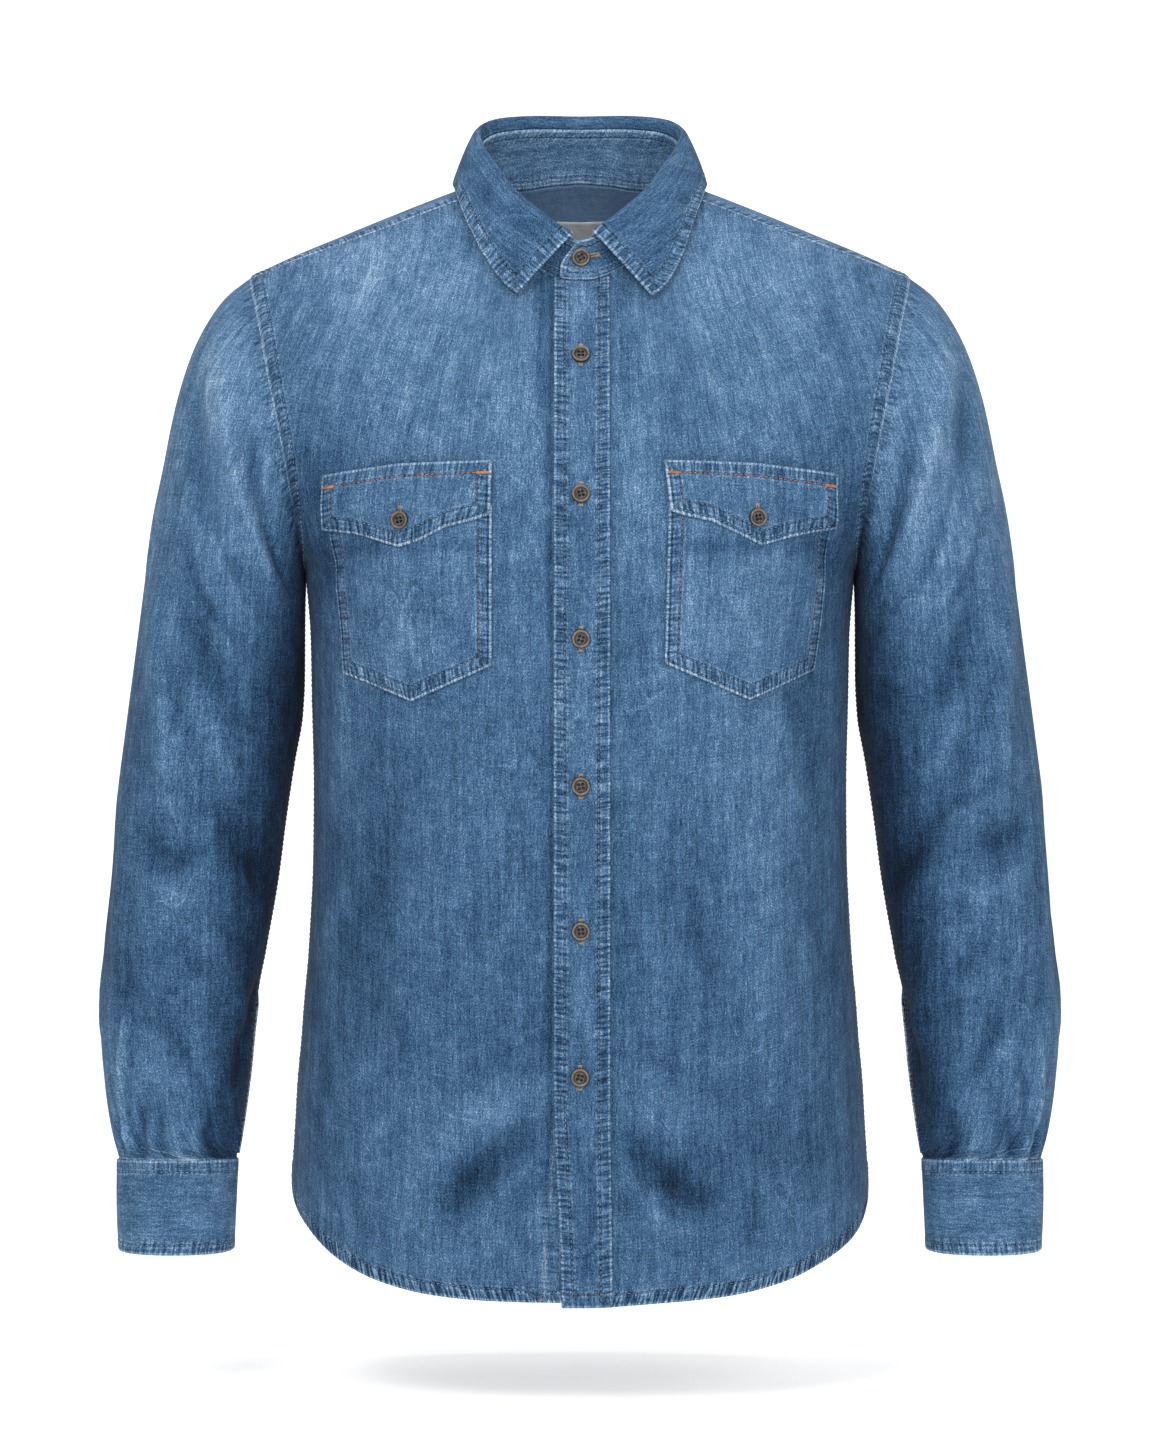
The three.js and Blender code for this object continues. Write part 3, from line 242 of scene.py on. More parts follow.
neckCorner = 180 - math.asin(0.93) / deg
frontSeam = table(("x", "w"), [(60, -26.3), (67, -26), (122, -25), (160, -22), (198, -17.5), (222, -13.6)])["w"]
backSeam = table(("x", "z"), [(0, -94), (100, -97), (212, -104)])["z"]
frontHem = table(("turn", "left", "right"), [
    (-8, -734.5, -731.5), (0, -734.5, -731.5), (17, -731.5, -730.5), (29, -728.5, -727.8), (42, -721.5, -720.5),
    (56, -709, -706.5), (68, -697, -690), (78, -683, -677), (84, -672, -668), (90, -659, -659),
])
backHem = table(("turn", "z"), [
    (0, -746), (20, -744.5), (34, -739), (46, -729), (58, -713), (70, -694), (79, -678), (84, -669), (90, -659),
])["z"]


def armholeAt(w):
    w = np.abs(np.asarray(w, float))
    z = heightAt(212, w)
    for _ in range(40):
        z = mix(z, heightAt(armForm["x"](z), w), 0.7)
    return armForm["x"](z), z


armpitTurn = float(turnAt(armForm["x"](armpit), armpit))
tipTurn = 13.6
seamEndX, _ = armholeAt(61.3)
endTurn = float(turnAt(seamEndX, backSeam(seamEndX)))


def spread(*stops):
    """Joins even steps between stops, given as value, count, value, count, ..., value."""
    parts = [np.linspace(stops[k], stops[k + 2], stops[k + 1], endpoint=False) for k in range(0, len(stops) - 1, 2)]
    return np.concatenate(parts + [[stops[-1]]])


# One front in its own columns J (0 at its front edge, 3 beside the band, 8 at the neck corner,
# 15 at the side) and rows I (0 at the hem, 12 at the armpit, 23 at the top).
def frontGrid(J, I, hem, edge, under):
    start = [edge, -4.5, 7.5, 19]
    startX = np.interp(J, [0, 1, 2, 3], start)
    driftX = np.interp(J, [0, 1, 2, 3, 4], [5, 3.8, 2.4, 1.4, 0]) * (0 if under else 1)
    low = I[I <= 12][:, None]
    high = I[I > 12][:, None]
    turnStart = lambda z: np.arcsin(19 / spanAt(z)) / deg
    hemTurn = np.where(J < 3, np.arcsin(startX / spanAt(-730.0)) / deg, mix(turnStart(-700.0), 90, (J - 3) / 12))

    def columnX(z):
        wide = spanAt(z) * np.sin(mix(turnStart(z), 90, clamp((J - 3) / 12, 0, 1)) * deg)
        return np.where(J < 3, startX, wide) + driftX * ease(-590, -728, z)

    z = mix(hem(hemTurn), armpit, low / 12)
    x = columnX(z)
    baseX = columnX(np.full_like(J, armpit))
    ends = 180 - np.arcsin(startX / 72) / deg
    turn = np.where(J < 3, ends, mix(180 - math.asin(19 / 72) / deg, neckCorner, clamp((J - 3) / 5, 0, 1)))
    topX, topW = neckAt(turn)
    cornerX = float(neckAt(neckCorner)[0])
    armX = float(armholeAt(tipTurn)[0])
    seamX = mix(cornerX, armX, clamp((J - 8) / 7, 0, 1))
    topW = np.where(J > 8, np.where(J > 14.999, -tipTurn, frontSeam(seamX)), topW)
    topX = np.where(J > 8, seamX, topX)
    v = ((high - 12) / 11) ** 1.45
    outX, _ = armholeAt(mix(armpitTurn, tipTurn, v))
    part = mix((baseX - edge) / (baseX[-1] - edge), (topX - edge) / (armX - edge), ease(0, 1, (high - 12) / 11))
    wide = edge + (outX - edge) * part
    hx = np.where(J < 3, startX + 0 * wide, mix(19, wide, clamp(J - 3, 0, 1)))
    hw = mix(turnAt(baseX, armpit), np.abs(topW), v)
    x = np.concatenate([x, hx])
    z = np.concatenate([z, heightAt(hx, hw)])
    return x, z, under * (1 - ease(20, 36, x))


def gridNormals(p, ring, away):
    """Normals of a grid of points, turned to the side of away."""
    if ring:
        q = np.concatenate([p[:, -1:], p, p[:, :1]], axis=1)
        du = (q[:, 2:] - q[:, :-2]) / 2
    else:
        du = np.gradient(p, axis=1)
    n = unit(np.cross(du, np.gradient(p, axis=0)))
    flip = np.sign((n * away).sum(-1, keepdims=True))
    return n * np.where(flip == 0, 1, flip)


def lengths(p, axis):
    """Distance along a grid's rows or columns, from its first point."""
    step = np.linalg.norm(np.diff(p, axis=axis), axis=-1)
    shape = list(step.shape)
    shape[axis] = 1
    return np.concatenate([np.zeros(shape), np.cumsum(step, axis=axis)], axis=axis)


# Thread that runs along a sewn line is gathered here, to be made at the end.
threads = {}


def sew(kind, points, normals, length=2.5, gap=0.9, radius=0.24, closed=False):
    """Remembers a stitched line: points on the cloth's face, millimetres."""
    threads.setdefault(kind, []).append((np.asarray(points), np.asarray(normals), length, gap, radius))


def levelLine(p, n, dist, value, axis=0):
    """The line on a grid where dist, which grows along axis from its first point, reaches value."""
    if axis:
        p, n, dist = p.transpose(1, 0, 2), n.transpose(1, 0, 2), dist.T
    i = clamp((dist < value).sum(0) - 1, 0, len(dist) - 2)
    k = np.arange(dist.shape[1])
    t = clamp((value - dist[i, k]) / np.maximum(1e-6, dist[i + 1, k] - dist[i, k]), 0, 1)[:, None]
    return mix(p[i, k], p[i + 1, k], t), unit(mix(n[i, k], n[i + 1, k], t))


def sewLevel(kind, p, n, dist, value, axis=0, fromEnd=False, keep=None, **how):
    """Sews along such a line; fromEnd measures from the grid's last point, and keep is a part of the line as fractions."""
    if fromEnd:
        p, n, dist = np.flip(p, axis), np.flip(n, axis), np.flip(dist, axis)
    q, m = levelLine(p, n, dist, value, axis)
    if keep is not None:
        a, b = int(round(keep[0] * len(q))), int(round(keep[1] * len(q)))
        q, m = q[a:b], m[a:b]
    sew(kind, q, m, **how)


# Of a piece's sewn edges, given as (distance, way along, strength, stitch distances), the nearest at each point.
# lineA and lineB are how far the point lies beyond that edge's two stitched lines.
def sewnFields(edges, shape):
    dist = np.stack([np.broadcast_to(e[0], shape) for e in edges])
    run = np.stack([np.broadcast_to(e[1], shape) + 137.0 * k for k, e in enumerate(edges)])
    force = np.stack([np.broadcast_to(np.asarray(e[2], float), shape) for e in edges])
    lines = np.array([(list(e[3]) + [-50.0, -50.0])[:2] for e in edges])
    pick = dist.argmin(0)
    take = lambda a: np.take_along_axis(a, pick[None], 0)[0]
    rim = take(dist)
    beyond = [np.where(rim > 16, 50, rim - lines[pick, k]) for k in (0, 1)]
    return dict(rim=rim, run=take(run), draw=take(force), lineA=beyond[0], lineB=beyond[1])


# A sewn edge draws its cloth up: dist is the way from the edge and run the way along it.
def pucker(dist, run, depth, period=7.5, slant=0.5, seed=3, at=4.5, wide=4.5):
    phase = (run + slant * dist) / period + 0.9 * noise(run / 26, 0.0, seed) + 0.35 * noise(run / 9, 5.0, seed)
    wave = np.sin(2 * np.pi * phase) * (0.65 + 0.35 * noise(run / 17, 9.0, seed))
    return depth * wave * np.exp(-(((dist - at) / wide) ** 2))


def seamBand(dist, width, height):
    return height * (1 - ease(width - 1.6, width + 1.4, dist))


# Mesh of a thin cloth wall: the outer face p, moved in by n * thick for the inner face, with a soft rim.
def shell(name, p, n, thick, body, cover, lining, nodes=(), ring=False, wearAndPaintedLight=0.0, edges=(), uv=None, smoothRim=0.4):
    rows, cols = p.shape[:2]
    inner = p - n * (np.asarray(thick)[..., None] if np.ndim(thick) else thick)
    count = rows * cols
    idx = np.arange(count).reshape(rows, cols)
    wrap = np.concatenate([idx, idx[:, :1]], axis=1) if ring else idx
    a, b, c, d = wrap[:-1, :-1].ravel(), wrap[:-1, 1:].ravel(), wrap[1:, 1:].ravel(), wrap[1:, :-1].ravel()
    outerFaces = np.stack([a, b, c, d], 1)
    du = p[: rows - 1, 1:] - p[: rows - 1, :-1] if not ring else np.roll(p, -1, axis=1)[: rows - 1] - p[: rows - 1]
    dv = p[1:, : du.shape[1]] - p[:-1, : du.shape[1]]
    turn = np.sign((np.cross(du, dv) * n[: rows - 1, : du.shape[1]]).sum())
    if turn < 0:
        outerFaces = outerFaces[:, ::-1]
    innerFaces = outerFaces[:, ::-1] + count
    verts = [p.reshape(-1, 3), inner.reshape(-1, 3)]
    rims = []
    borders = [(idx[0], idx[1], ring), (idx[-1], idx[-2], ring)]
    if not ring:
        borders += [(idx[:, 0], idx[:, 1], False), (idx[:, -1], idx[:, -2], False)]
    flat, flatIn = p.reshape(-1, 3), inner.reshape(-1, 3)
    extraFrom = []
    at = 2 * count
    for edge, inside, closed in borders:
        away = unit(flat[edge] - flat[inside])
        gap = np.linalg.norm(flat[edge] - flatIn[edge], axis=-1, keepdims=True)
        verts.append((flat[edge] + flatIn[edge]) / 2 + away * gap * smoothRim)
        mid = at + np.arange(len(edge))
        extraFrom.append(edge)
        at += len(edge)
        k = np.arange(len(edge) if closed else len(edge) - 1)
        l = (k + 1) % len(edge)
        for first, second in ((edge, mid), (mid, edge + count)):
            quad = np.stack([first[k], first[l], second[l], second[k]], 1)
            middle = verts[-1][k].mean(0)
            rims.append((quad, away))
    allVerts = np.concatenate(verts)
    rimFaces = []
    for quad, away in rims:
        q = allVerts[quad]
        face = np.cross(q[:, 1] - q[:, 0], q[:, 3] - q[:, 0])
        side = np.sign((face * away[: len(face)]).sum())
        rimFaces.append(quad if side >= 0 else quad[:, ::-1])
    faces = np.concatenate([outerFaces, innerFaces] + rimFaces)
    mesh = bpy.data.meshes.new(name)
    mesh.from_pydata((allVerts * 0.001).tolist(), [], faces.tolist())
    mesh.shade_smooth()
    source = np.concatenate([np.arange(count), np.arange(count)] + extraFrom)
    if uv is None:
        uv = np.stack([lengths(p, 1), lengths(p, 0)], -1)
    loops = np.empty(len(mesh.loops), dtype=np.int32)
    mesh.loops.foreach_get("vertex_index", loops)
    # Each piece is cut from its own stretch of the cloth, so that no two show the same grain.
    uv = uv + [731.0 * len(bpy.data.objects), 0.0]
    layer = mesh.uv_layers.new(name="cloth")
    layer.data.foreach_set("uv", (uv.reshape(-1, 2)[source][loops] * 0.001).astype(np.float32).ravel())
    fields = sewnFields(edges, (rows, cols)) if edges else dict(rim=50.0, run=0.0, draw=0.0, lineA=50.0, lineB=50.0)
    for label, value in dict(fields, wearAndPaintedLight=wearAndPaintedLight).items():
        value = np.broadcast_to(np.asarray(value, float), (rows, cols))
        mesh.attributes.new(label, "FLOAT", "POINT").data.foreach_set("value", value.reshape(-1)[source].astype(np.float32))
    mesh.materials.append(cover)
    mesh.materials.append(lining)
    kind = np.zeros(len(mesh.polygons), dtype=np.int32)
    kind[len(outerFaces): 2 * len(outerFaces)] = 1
    mesh.polygons.foreach_set("material_index", kind)
    mesh.update()
    obj = bpy.data.objects.new(name, mesh)
    bpy.context.scene.collection.objects.link(obj)
    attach(obj, "root")
    if nodes:
        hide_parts(*nodes)
    return obj


# ---- finishes -------------------------------------------------------------

def hexColour(text, alpha=1.0):
    parts = [int(text[k: k + 2], 16) / 255 for k in (0, 2, 4)]
    return tuple(c / 12.92 if c <= 0.04045 else ((c + 0.055) / 1.055) ** 2.4 for c in parts) + (alpha,)


def put(tree, kind, inputs=None, **settings):
    made = tree.nodes.new(kind)
    for key, value in settings.items():
        setattr(made, key, value)
    for key, value in (inputs or {}).items():
        if isinstance(value, bpy.types.NodeSocket):
            tree.links.new(value, made.inputs[key])
        else:
            made.inputs[key].default_value = value
    return made


def newMaterial(name):
    mat = bpy.data.materials.new(name)
    mat.use_nodes = True
    mat.node_tree.nodes.clear()
    return mat, mat.node_tree


def maths(tree, op, a, b=0.0, clampIt=False):
    return put(tree, "ShaderNodeMath", {0: a, 1: b}, operation=op, use_clamp=clampIt).outputs[0]


def rangeOf(tree, value, a, b, c, d, smooth=True):
    return put(tree, "ShaderNodeMapRange", {"Value": value, "From Min": a, "From Max": b, "To Min": c, "To Max": d},
               interpolation_type="SMOOTHSTEP" if smooth else "LINEAR").outputs[0]


def attribute(tree, name):
    return put(tree, "ShaderNodeAttribute", attribute_name=name).outputs["Fac"]


def clothNoise(tree, uvOut, sx, sy, detail=2.0, rough=0.5, shift=(0, 0)):
    """Noise on the cloth's own metres: sx and sy are cells a metre, across and along."""
    at = put(tree, "ShaderNodeMapping", {"Vector": uvOut, "Scale": (sx, sy, 1), "Location": (shift[0], shift[1], 0)}).outputs[0]
    return put(tree, "ShaderNodeTexNoise", {"Vector": at, "Scale": 1.0, "Detail": detail, "Roughness": rough}, noise_dimensions="2D").outputs["Fac"]


def ramp(tree, value, stops):
    made = put(tree, "ShaderNodeValToRGB", {"Fac": value})
    cr = made.color_ramp
    while len(cr.elements) < len(stops):
        cr.elements.new(0.5)
    for element, (at, text) in zip(cr.elements, stops):
        element.position = at
        element.color = hexColour(text)
    return made.outputs["Color"]


# Washed denim: dark indigo yarn over pale cotton, salt-and-pepper close up, with faint slubby streaks
# along the warp, cloudy fades, and bars of rubbed and unrubbed cloth where sewing draws it up.
def denim(name, stops, base=0.5, along=True, rough=0.9, coarse=1.0):
    mat, tree = newMaterial(name)
    uv = put(tree, "ShaderNodeUVMap", uv_map="cloth").outputs[0]
    pair = lambda across, down: (across, down) if along else (down, across)
    grain = clothNoise(tree, uv, 1050, 900, detail=3, rough=0.7)
    fine = clothNoise(tree, uv, *pair(820, 150), detail=2, rough=0.6)
    mid = clothNoise(tree, uv, *pair(330, 22), detail=3, rough=0.6, shift=(3, 1))
    broad = clothNoise(tree, uv, *pair(95, 7), detail=2, rough=0.5, shift=(7, 4))
    cross = clothNoise(tree, uv, *pair(70, 620), detail=2, rough=0.6, shift=(2, 9))
    blotch = clothNoise(tree, uv, 62, 48, detail=4, rough=0.65, shift=(5, 5))
    cloud = clothNoise(tree, uv, 13, 9, detail=3, rough=0.55, shift=(1, 8))
    total = base
    for value, amount in ((grain, 1.05), (fine, 0.42), (mid, 0.30), (broad, 0.16), (cross, 0.19), (blotch, 0.30), (cloud, 0.16)):
        total = maths(tree, "ADD", total, maths(tree, "MULTIPLY", maths(tree, "SUBTRACT", value, 0.5), amount * coarse))
    # Twill ribs run down to the right and show where the cloth is most rubbed.
    sep = put(tree, "ShaderNodeSeparateXYZ", {0: uv})
    diagonal = maths(tree, "ADD", maths(tree, "MULTIPLY", sep.outputs[0], 1.0), maths(tree, "MULTIPLY", sep.outputs[1], 1.15))
    wander = maths(tree, "MULTIPLY", maths(tree, "SUBTRACT", blotch, 0.5), 0.004)
    rib = maths(tree, "SINE", maths(tree, "MULTIPLY", maths(tree, "ADD", diagonal, wander), 2 * math.pi / 0.0021))
    total = maths(tree, "ADD", total, maths(tree, "MULTIPLY", rib, 0.034))
    # Per-point tone from each piece: fading and wear together with painted light and shade.
    total = maths(tree, "ADD", total, attribute(tree, "wearAndPaintedLight"))
    # Drawn-up edge: uneven bars across it, about 6 mm apart, and a rubbed line on the fold itself.
    rimAt, runAt, force = attribute(tree, "rim"), attribute(tree, "run"), attribute(tree, "draw")
    barAt = put(tree, "ShaderNodeCombineXYZ", {0: maths(tree, "MULTIPLY", maths(tree, "ADD", runAt, maths(tree, "MULTIPLY", rimAt, 0.12)), 0.5), 1: maths(tree, "MULTIPLY", rimAt, 0.07)})
    bar = put(tree, "ShaderNodeTexNoise", {"Vector": barAt.outputs[0], "Scale": 1.0, "Detail": 1.0, "Roughness": 0.5}, noise_dimensions="2D").outputs["Fac"]
    bar = rangeOf(tree, bar, 0.30, 0.66, -1, 0.8)
    inBand = maths(tree, "MULTIPLY", rangeOf(tree, rimAt, 7.0, 11.0, 1, 0), force)
    pull = maths(tree, "MULTIPLY", bar, inBand)
    total = maths(tree, "ADD", total, maths(tree, "MULTIPLY", pull, 0.13))
    total = maths(tree, "ADD", total, maths(tree, "MULTIPLY", inBand, -0.02))
    rub = rangeOf(tree, clothNoise(tree, uv, 260, 260, detail=2, rough=0.6, shift=(4, 2)), 0.3, 0.6, 0.85, 1)
    edge = maths(tree, "MULTIPLY", rangeOf(tree, rimAt, 0.7, 1.5, 1, 0), rub)
    total = maths(tree, "ADD", total, maths(tree, "MULTIPLY", edge, 0.25))
    # At each stitched line the cloth is lighter on a narrow lip 1.5 mm off the line and darker on the line itself,
    # painted shade in the stitch groove.
    threadAt = maths(tree, "MINIMUM", maths(tree, "ABSOLUTE", attribute(tree, "lineA")), maths(tree, "ABSOLUTE", attribute(tree, "lineB")))
    lip = maths(tree, "MULTIPLY", rangeOf(tree, maths(tree, "ABSOLUTE", maths(tree, "SUBTRACT", threadAt, 1.5)), 0.2, 1.1, 1, 0), 0.08)
    grooveShade = maths(tree, "MULTIPLY", rangeOf(tree, threadAt, 0.15, 0.9, 1, 0), 0.2)
    total = maths(tree, "ADD", total, maths(tree, "SUBTRACT", lip, grooveShade))
    # Hairline creases set in by washing, here and there: a light washed-out line, with a darker line beside it that is
    # painted shadow of the crease.
    vein = maths(tree, "SUBTRACT", clothNoise(tree, uv, 24, 17, detail=1.5, rough=0.5, shift=(11, 3)), 0.5)
    here = rangeOf(tree, clothNoise(tree, uv, 16, 11, detail=2, shift=(6, 12)), 0.5, 0.62, 0, 1)
    crest = rangeOf(tree, maths(tree, "ABSOLUTE", maths(tree, "SUBTRACT", vein, 0.005)), 0.002, 0.012, 1, 0)
    creaseShadow = rangeOf(tree, maths(tree, "ABSOLUTE", maths(tree, "ADD", vein, 0.012)), 0.002, 0.014, 1, 0)
    hair = maths(tree, "MULTIPLY", here, maths(tree, "SUBTRACT", maths(tree, "MULTIPLY", crest, 0.07), maths(tree, "MULTIPLY", creaseShadow, 0.05)))
    total = maths(tree, "ADD", total, hair)
    colour = ramp(tree, total, stops)
    height = maths(tree, "ADD", maths(tree, "MULTIPLY", rib, 0.10), maths(tree, "ADD", maths(tree, "MULTIPLY", grain, 1.0), maths(tree, "MULTIPLY", fine, 0.5)))
    relief = put(tree, "ShaderNodeBump", {"Strength": 0.5, "Distance": 0.0005, "Height": height})
    drawn = put(tree, "ShaderNodeBump", {"Strength": 0.6, "Distance": 0.0010, "Height": maths(tree, "SUBTRACT", pull, maths(tree, "MULTIPLY", rangeOf(tree, threadAt, 0.2, 1.4, 1, 0), 0.8)), "Normal": relief.outputs[0]})
    shader = put(tree, "ShaderNodeBsdfPrincipled", {"Base Color": colour, "Roughness": rough, "Specular IOR Level": 0.1,
                 "Sheen Weight": 0.03, "Sheen Roughness": 0.5, "Normal": drawn.outputs[0]})
    put(tree, "ShaderNodeOutputMaterial", {"Surface": shader.outputs[0]})
    return mat


indigo = [(0.0, "0c1a2b"), (0.25, "203a56"), (0.45, "395979"), (0.62, "527394"), (0.8, "7f9cb8"), (1.0, "b7c6d4")]
denimFace = denim("washed_denim_face", indigo)
denimTrim = denim("washed_denim_cross_grain", indigo, along=False)
denimBack = denim("denim_reverse_side", [(0.0, "15263d"), (0.35, "2c4563"), (0.6, "426081"), (0.85, "6985a2"), (1.0, "92a7bd")], along=False, coarse=0.7)
# The reverse side inside the yoke, painted much lighter than denim_reverse_side: painted light for the inside of the
# neck, where little lamp light reaches.
yokeLiningPaintedLight = denim("denim_reverse_of_yoke_painted_light", [(0.0, "35557a"), (0.35, "6187b2"), (0.6, "86aad1"), (0.85, "abc8e6"), (1.0, "c8daee")], along=False, coarse=0.75)
print("denim ready")


def woven(name, dark, light, across, along, rough=0.85):
    mat, tree = newMaterial(name)
    uv = put(tree, "ShaderNodeUVMap", uv_map="cloth").outputs[0]
    sep = put(tree, "ShaderNodeSeparateXYZ", {0: uv})
    weft = maths(tree, "SINE", maths(tree, "MULTIPLY", sep.outputs[1], 2 * math.pi / along))
    warp = maths(tree, "SINE", maths(tree, "MULTIPLY", sep.outputs[0], 2 * math.pi / across))
    soil = clothNoise(tree, uv, 90, 90, detail=3, rough=0.6)
    fac = maths(tree, "ADD", maths(tree, "MULTIPLY", maths(tree, "MULTIPLY", weft, warp), 0.12), soil)
    colour = ramp(tree, fac, [(0.3, dark), (0.72, light)])
    bump = put(tree, "ShaderNodeBump", {"Strength": 0.3, "Distance": 0.0003, "Height": maths(tree, "ADD", weft, warp)})
    shader = put(tree, "ShaderNodeBsdfPrincipled", {"Base Color": colour, "Roughness": rough, "Specular IOR Level": 0.25, "Normal": bump.outputs[0]})
    put(tree, "ShaderNodeOutputMaterial", {"Surface": shader.outputs[0]})
    return mat


labelCloth = woven("pale_grey_label_tape", "cfd1d3", "eff0f1", 0.0007, 0.0005)


# Twisted cotton thread: a little brighter where its strands turn up.
def threadCotton(name, dark, light):
    mat, tree = newMaterial(name)
    at = put(tree, "ShaderNodeTexCoord").outputs["Object"]
    tone = put(tree, "ShaderNodeTexNoise", {"Vector": at, "Scale": 190.0, "Detail": 2.0}).outputs["Fac"]
    colour = ramp(tree, tone, [(0.3, dark), (0.7, light)])
    shader = put(tree, "ShaderNodeBsdfPrincipled", {"Base Color": colour, "Roughness": 0.6, "Specular IOR Level": 0.3})
    put(tree, "ShaderNodeOutputMaterial", {"Surface": shader.outputs[0]})
    return mat


# Mottled horn: polished brown-grey rim; near black in the holes, in the turned groove and on the outer edge, painted
# shade read from the shade attribute.
def hornMaterial():
    mat, tree = newMaterial("mottled_grey_horn")
    at = put(tree, "ShaderNodeTexCoord").outputs["Object"]
    tone = put(tree, "ShaderNodeTexNoise", {"Vector": at, "Scale": 420.0, "Detail": 4.0, "Roughness": 0.6, "Distortion": 0.6}).outputs["Fac"]
    tone = maths(tree, "ADD", maths(tree, "MULTIPLY", tone, 0.4), 0.35)
    tone = maths(tree, "SUBTRACT", tone, maths(tree, "MULTIPLY", attribute(tree, "shade"), 0.62))
    colour = ramp(tree, tone, [(0.0, "060606"), (0.22, "1f1c1a"), (0.42, "453f3a"), (0.58, "6f675f"), (0.74, "9a9188")])
    shader = put(tree, "ShaderNodeBsdfPrincipled", {"Base Color": colour, "Roughness": 0.34, "Metallic": 0.3, "Specular IOR Level": 0.5})
    put(tree, "ShaderNodeOutputMaterial", {"Surface": shader.outputs[0]})
    return mat


horn = hornMaterial()

# ---- fades, painted light and painted shade of the whole shirt, in front view: x z rx rz amount ---

# Each spot is partly real fading and partly painted light and shade: lighter chest and shoulders, darker sides, lower
# belly and underarms; low beside the placket, dark spots are painted shade in the drag-fold troughs, with lighter
# patches above them; the narrow dark streaks beside the placket below the collar are painted shadow of the collar.
frontFadesAndPaintedLight = [
    (-100, -120, 80, 70, 0.035), (100, -115, 80, 70, 0.03), (-140, -50, 70, 40, 0.13), (140, -50, 70, 40, 0.10),
    (0, -150, 170, 50, 0.02), (-80, -440, 60, 70, -0.06), (70, -410, 60, 70, 0.04), (110, -560, 50, 60, -0.03), (0, -520, 190, 150, -0.08),
    (-110, -610, 60, 60, -0.02), (110, -630, 60, 60, -0.07), (-172, -450, 26, 260, -0.10), (172, -450, 26, 260, -0.07),
    (-60, -655, 42, 24, -0.14), (62, -652, 40, 24, -0.12), (-70, -608, 50, 22, 0.05), (74, -603, 50, 22, 0.05),
    (0, -715, 200, 30, -0.02), (-190, -240, 34, 60, -0.2), (190, -240, 34, 60, -0.2), (-26, -112, 4.5, 48, -0.13), (-33, -112, 4, 40, 0.06), (29, -110, 7, 60, -0.05),
]
# Back spots, likewise partly fading and partly painted light and shade: lighter upper back and middle, darker sides,
# hem and underarms.
backFadesAndPaintedLight = [
    (0, -190, 140, 90, 0.08), (-175, -450, 30, 260, -0.11), (175, -450, 30, 260, -0.11), (0, -480, 110, 120, 0.03), (0, -715, 200, 40, -0.03),
    (-190, -240, 34, 60, -0.16), (190, -240, 34, 60, -0.16),
]


def spotSum(spots, x, z):
    total = 0.0
    for cx, cz, rx, rz, amount in spots:
        total = total + amount * np.exp(-(((x - cx) / rx) ** 2) - ((z - cz) / rz) ** 2)
    return total


# Tone of the body at each point: the spots, and along folds and creases darker troughs and lighter ridges; partly real
# fading and wash wear, partly painted light and shade.
def bodyWearAndPaintedLight(x, z, side, fold):
    spots = np.where(side < 0, spotSum(frontFadesAndPaintedLight, x, z), spotSum(backFadesAndPaintedLight, x, z))
    crease = np.where(side < 0, foldHeight(frontCreases, x, z), foldHeight(backCreases, x, z))
    return spots + 0.028 * clamp(crease, -1, 0) + 0.05 * clamp(crease, 0, 1.6) + 0.036 * clamp(fold, -5, 0) + 0.019 * clamp(fold, 0, 5)


# ---- fronts ----------------------------------------------------------------

def panelUv(p, ring=False, middle=None):
    u, v = lengths(p, 1), lengths(p, 0)
    if middle is not None:
        u = u - u[:, middle: middle + 1]
    return np.stack([u, v], -1)


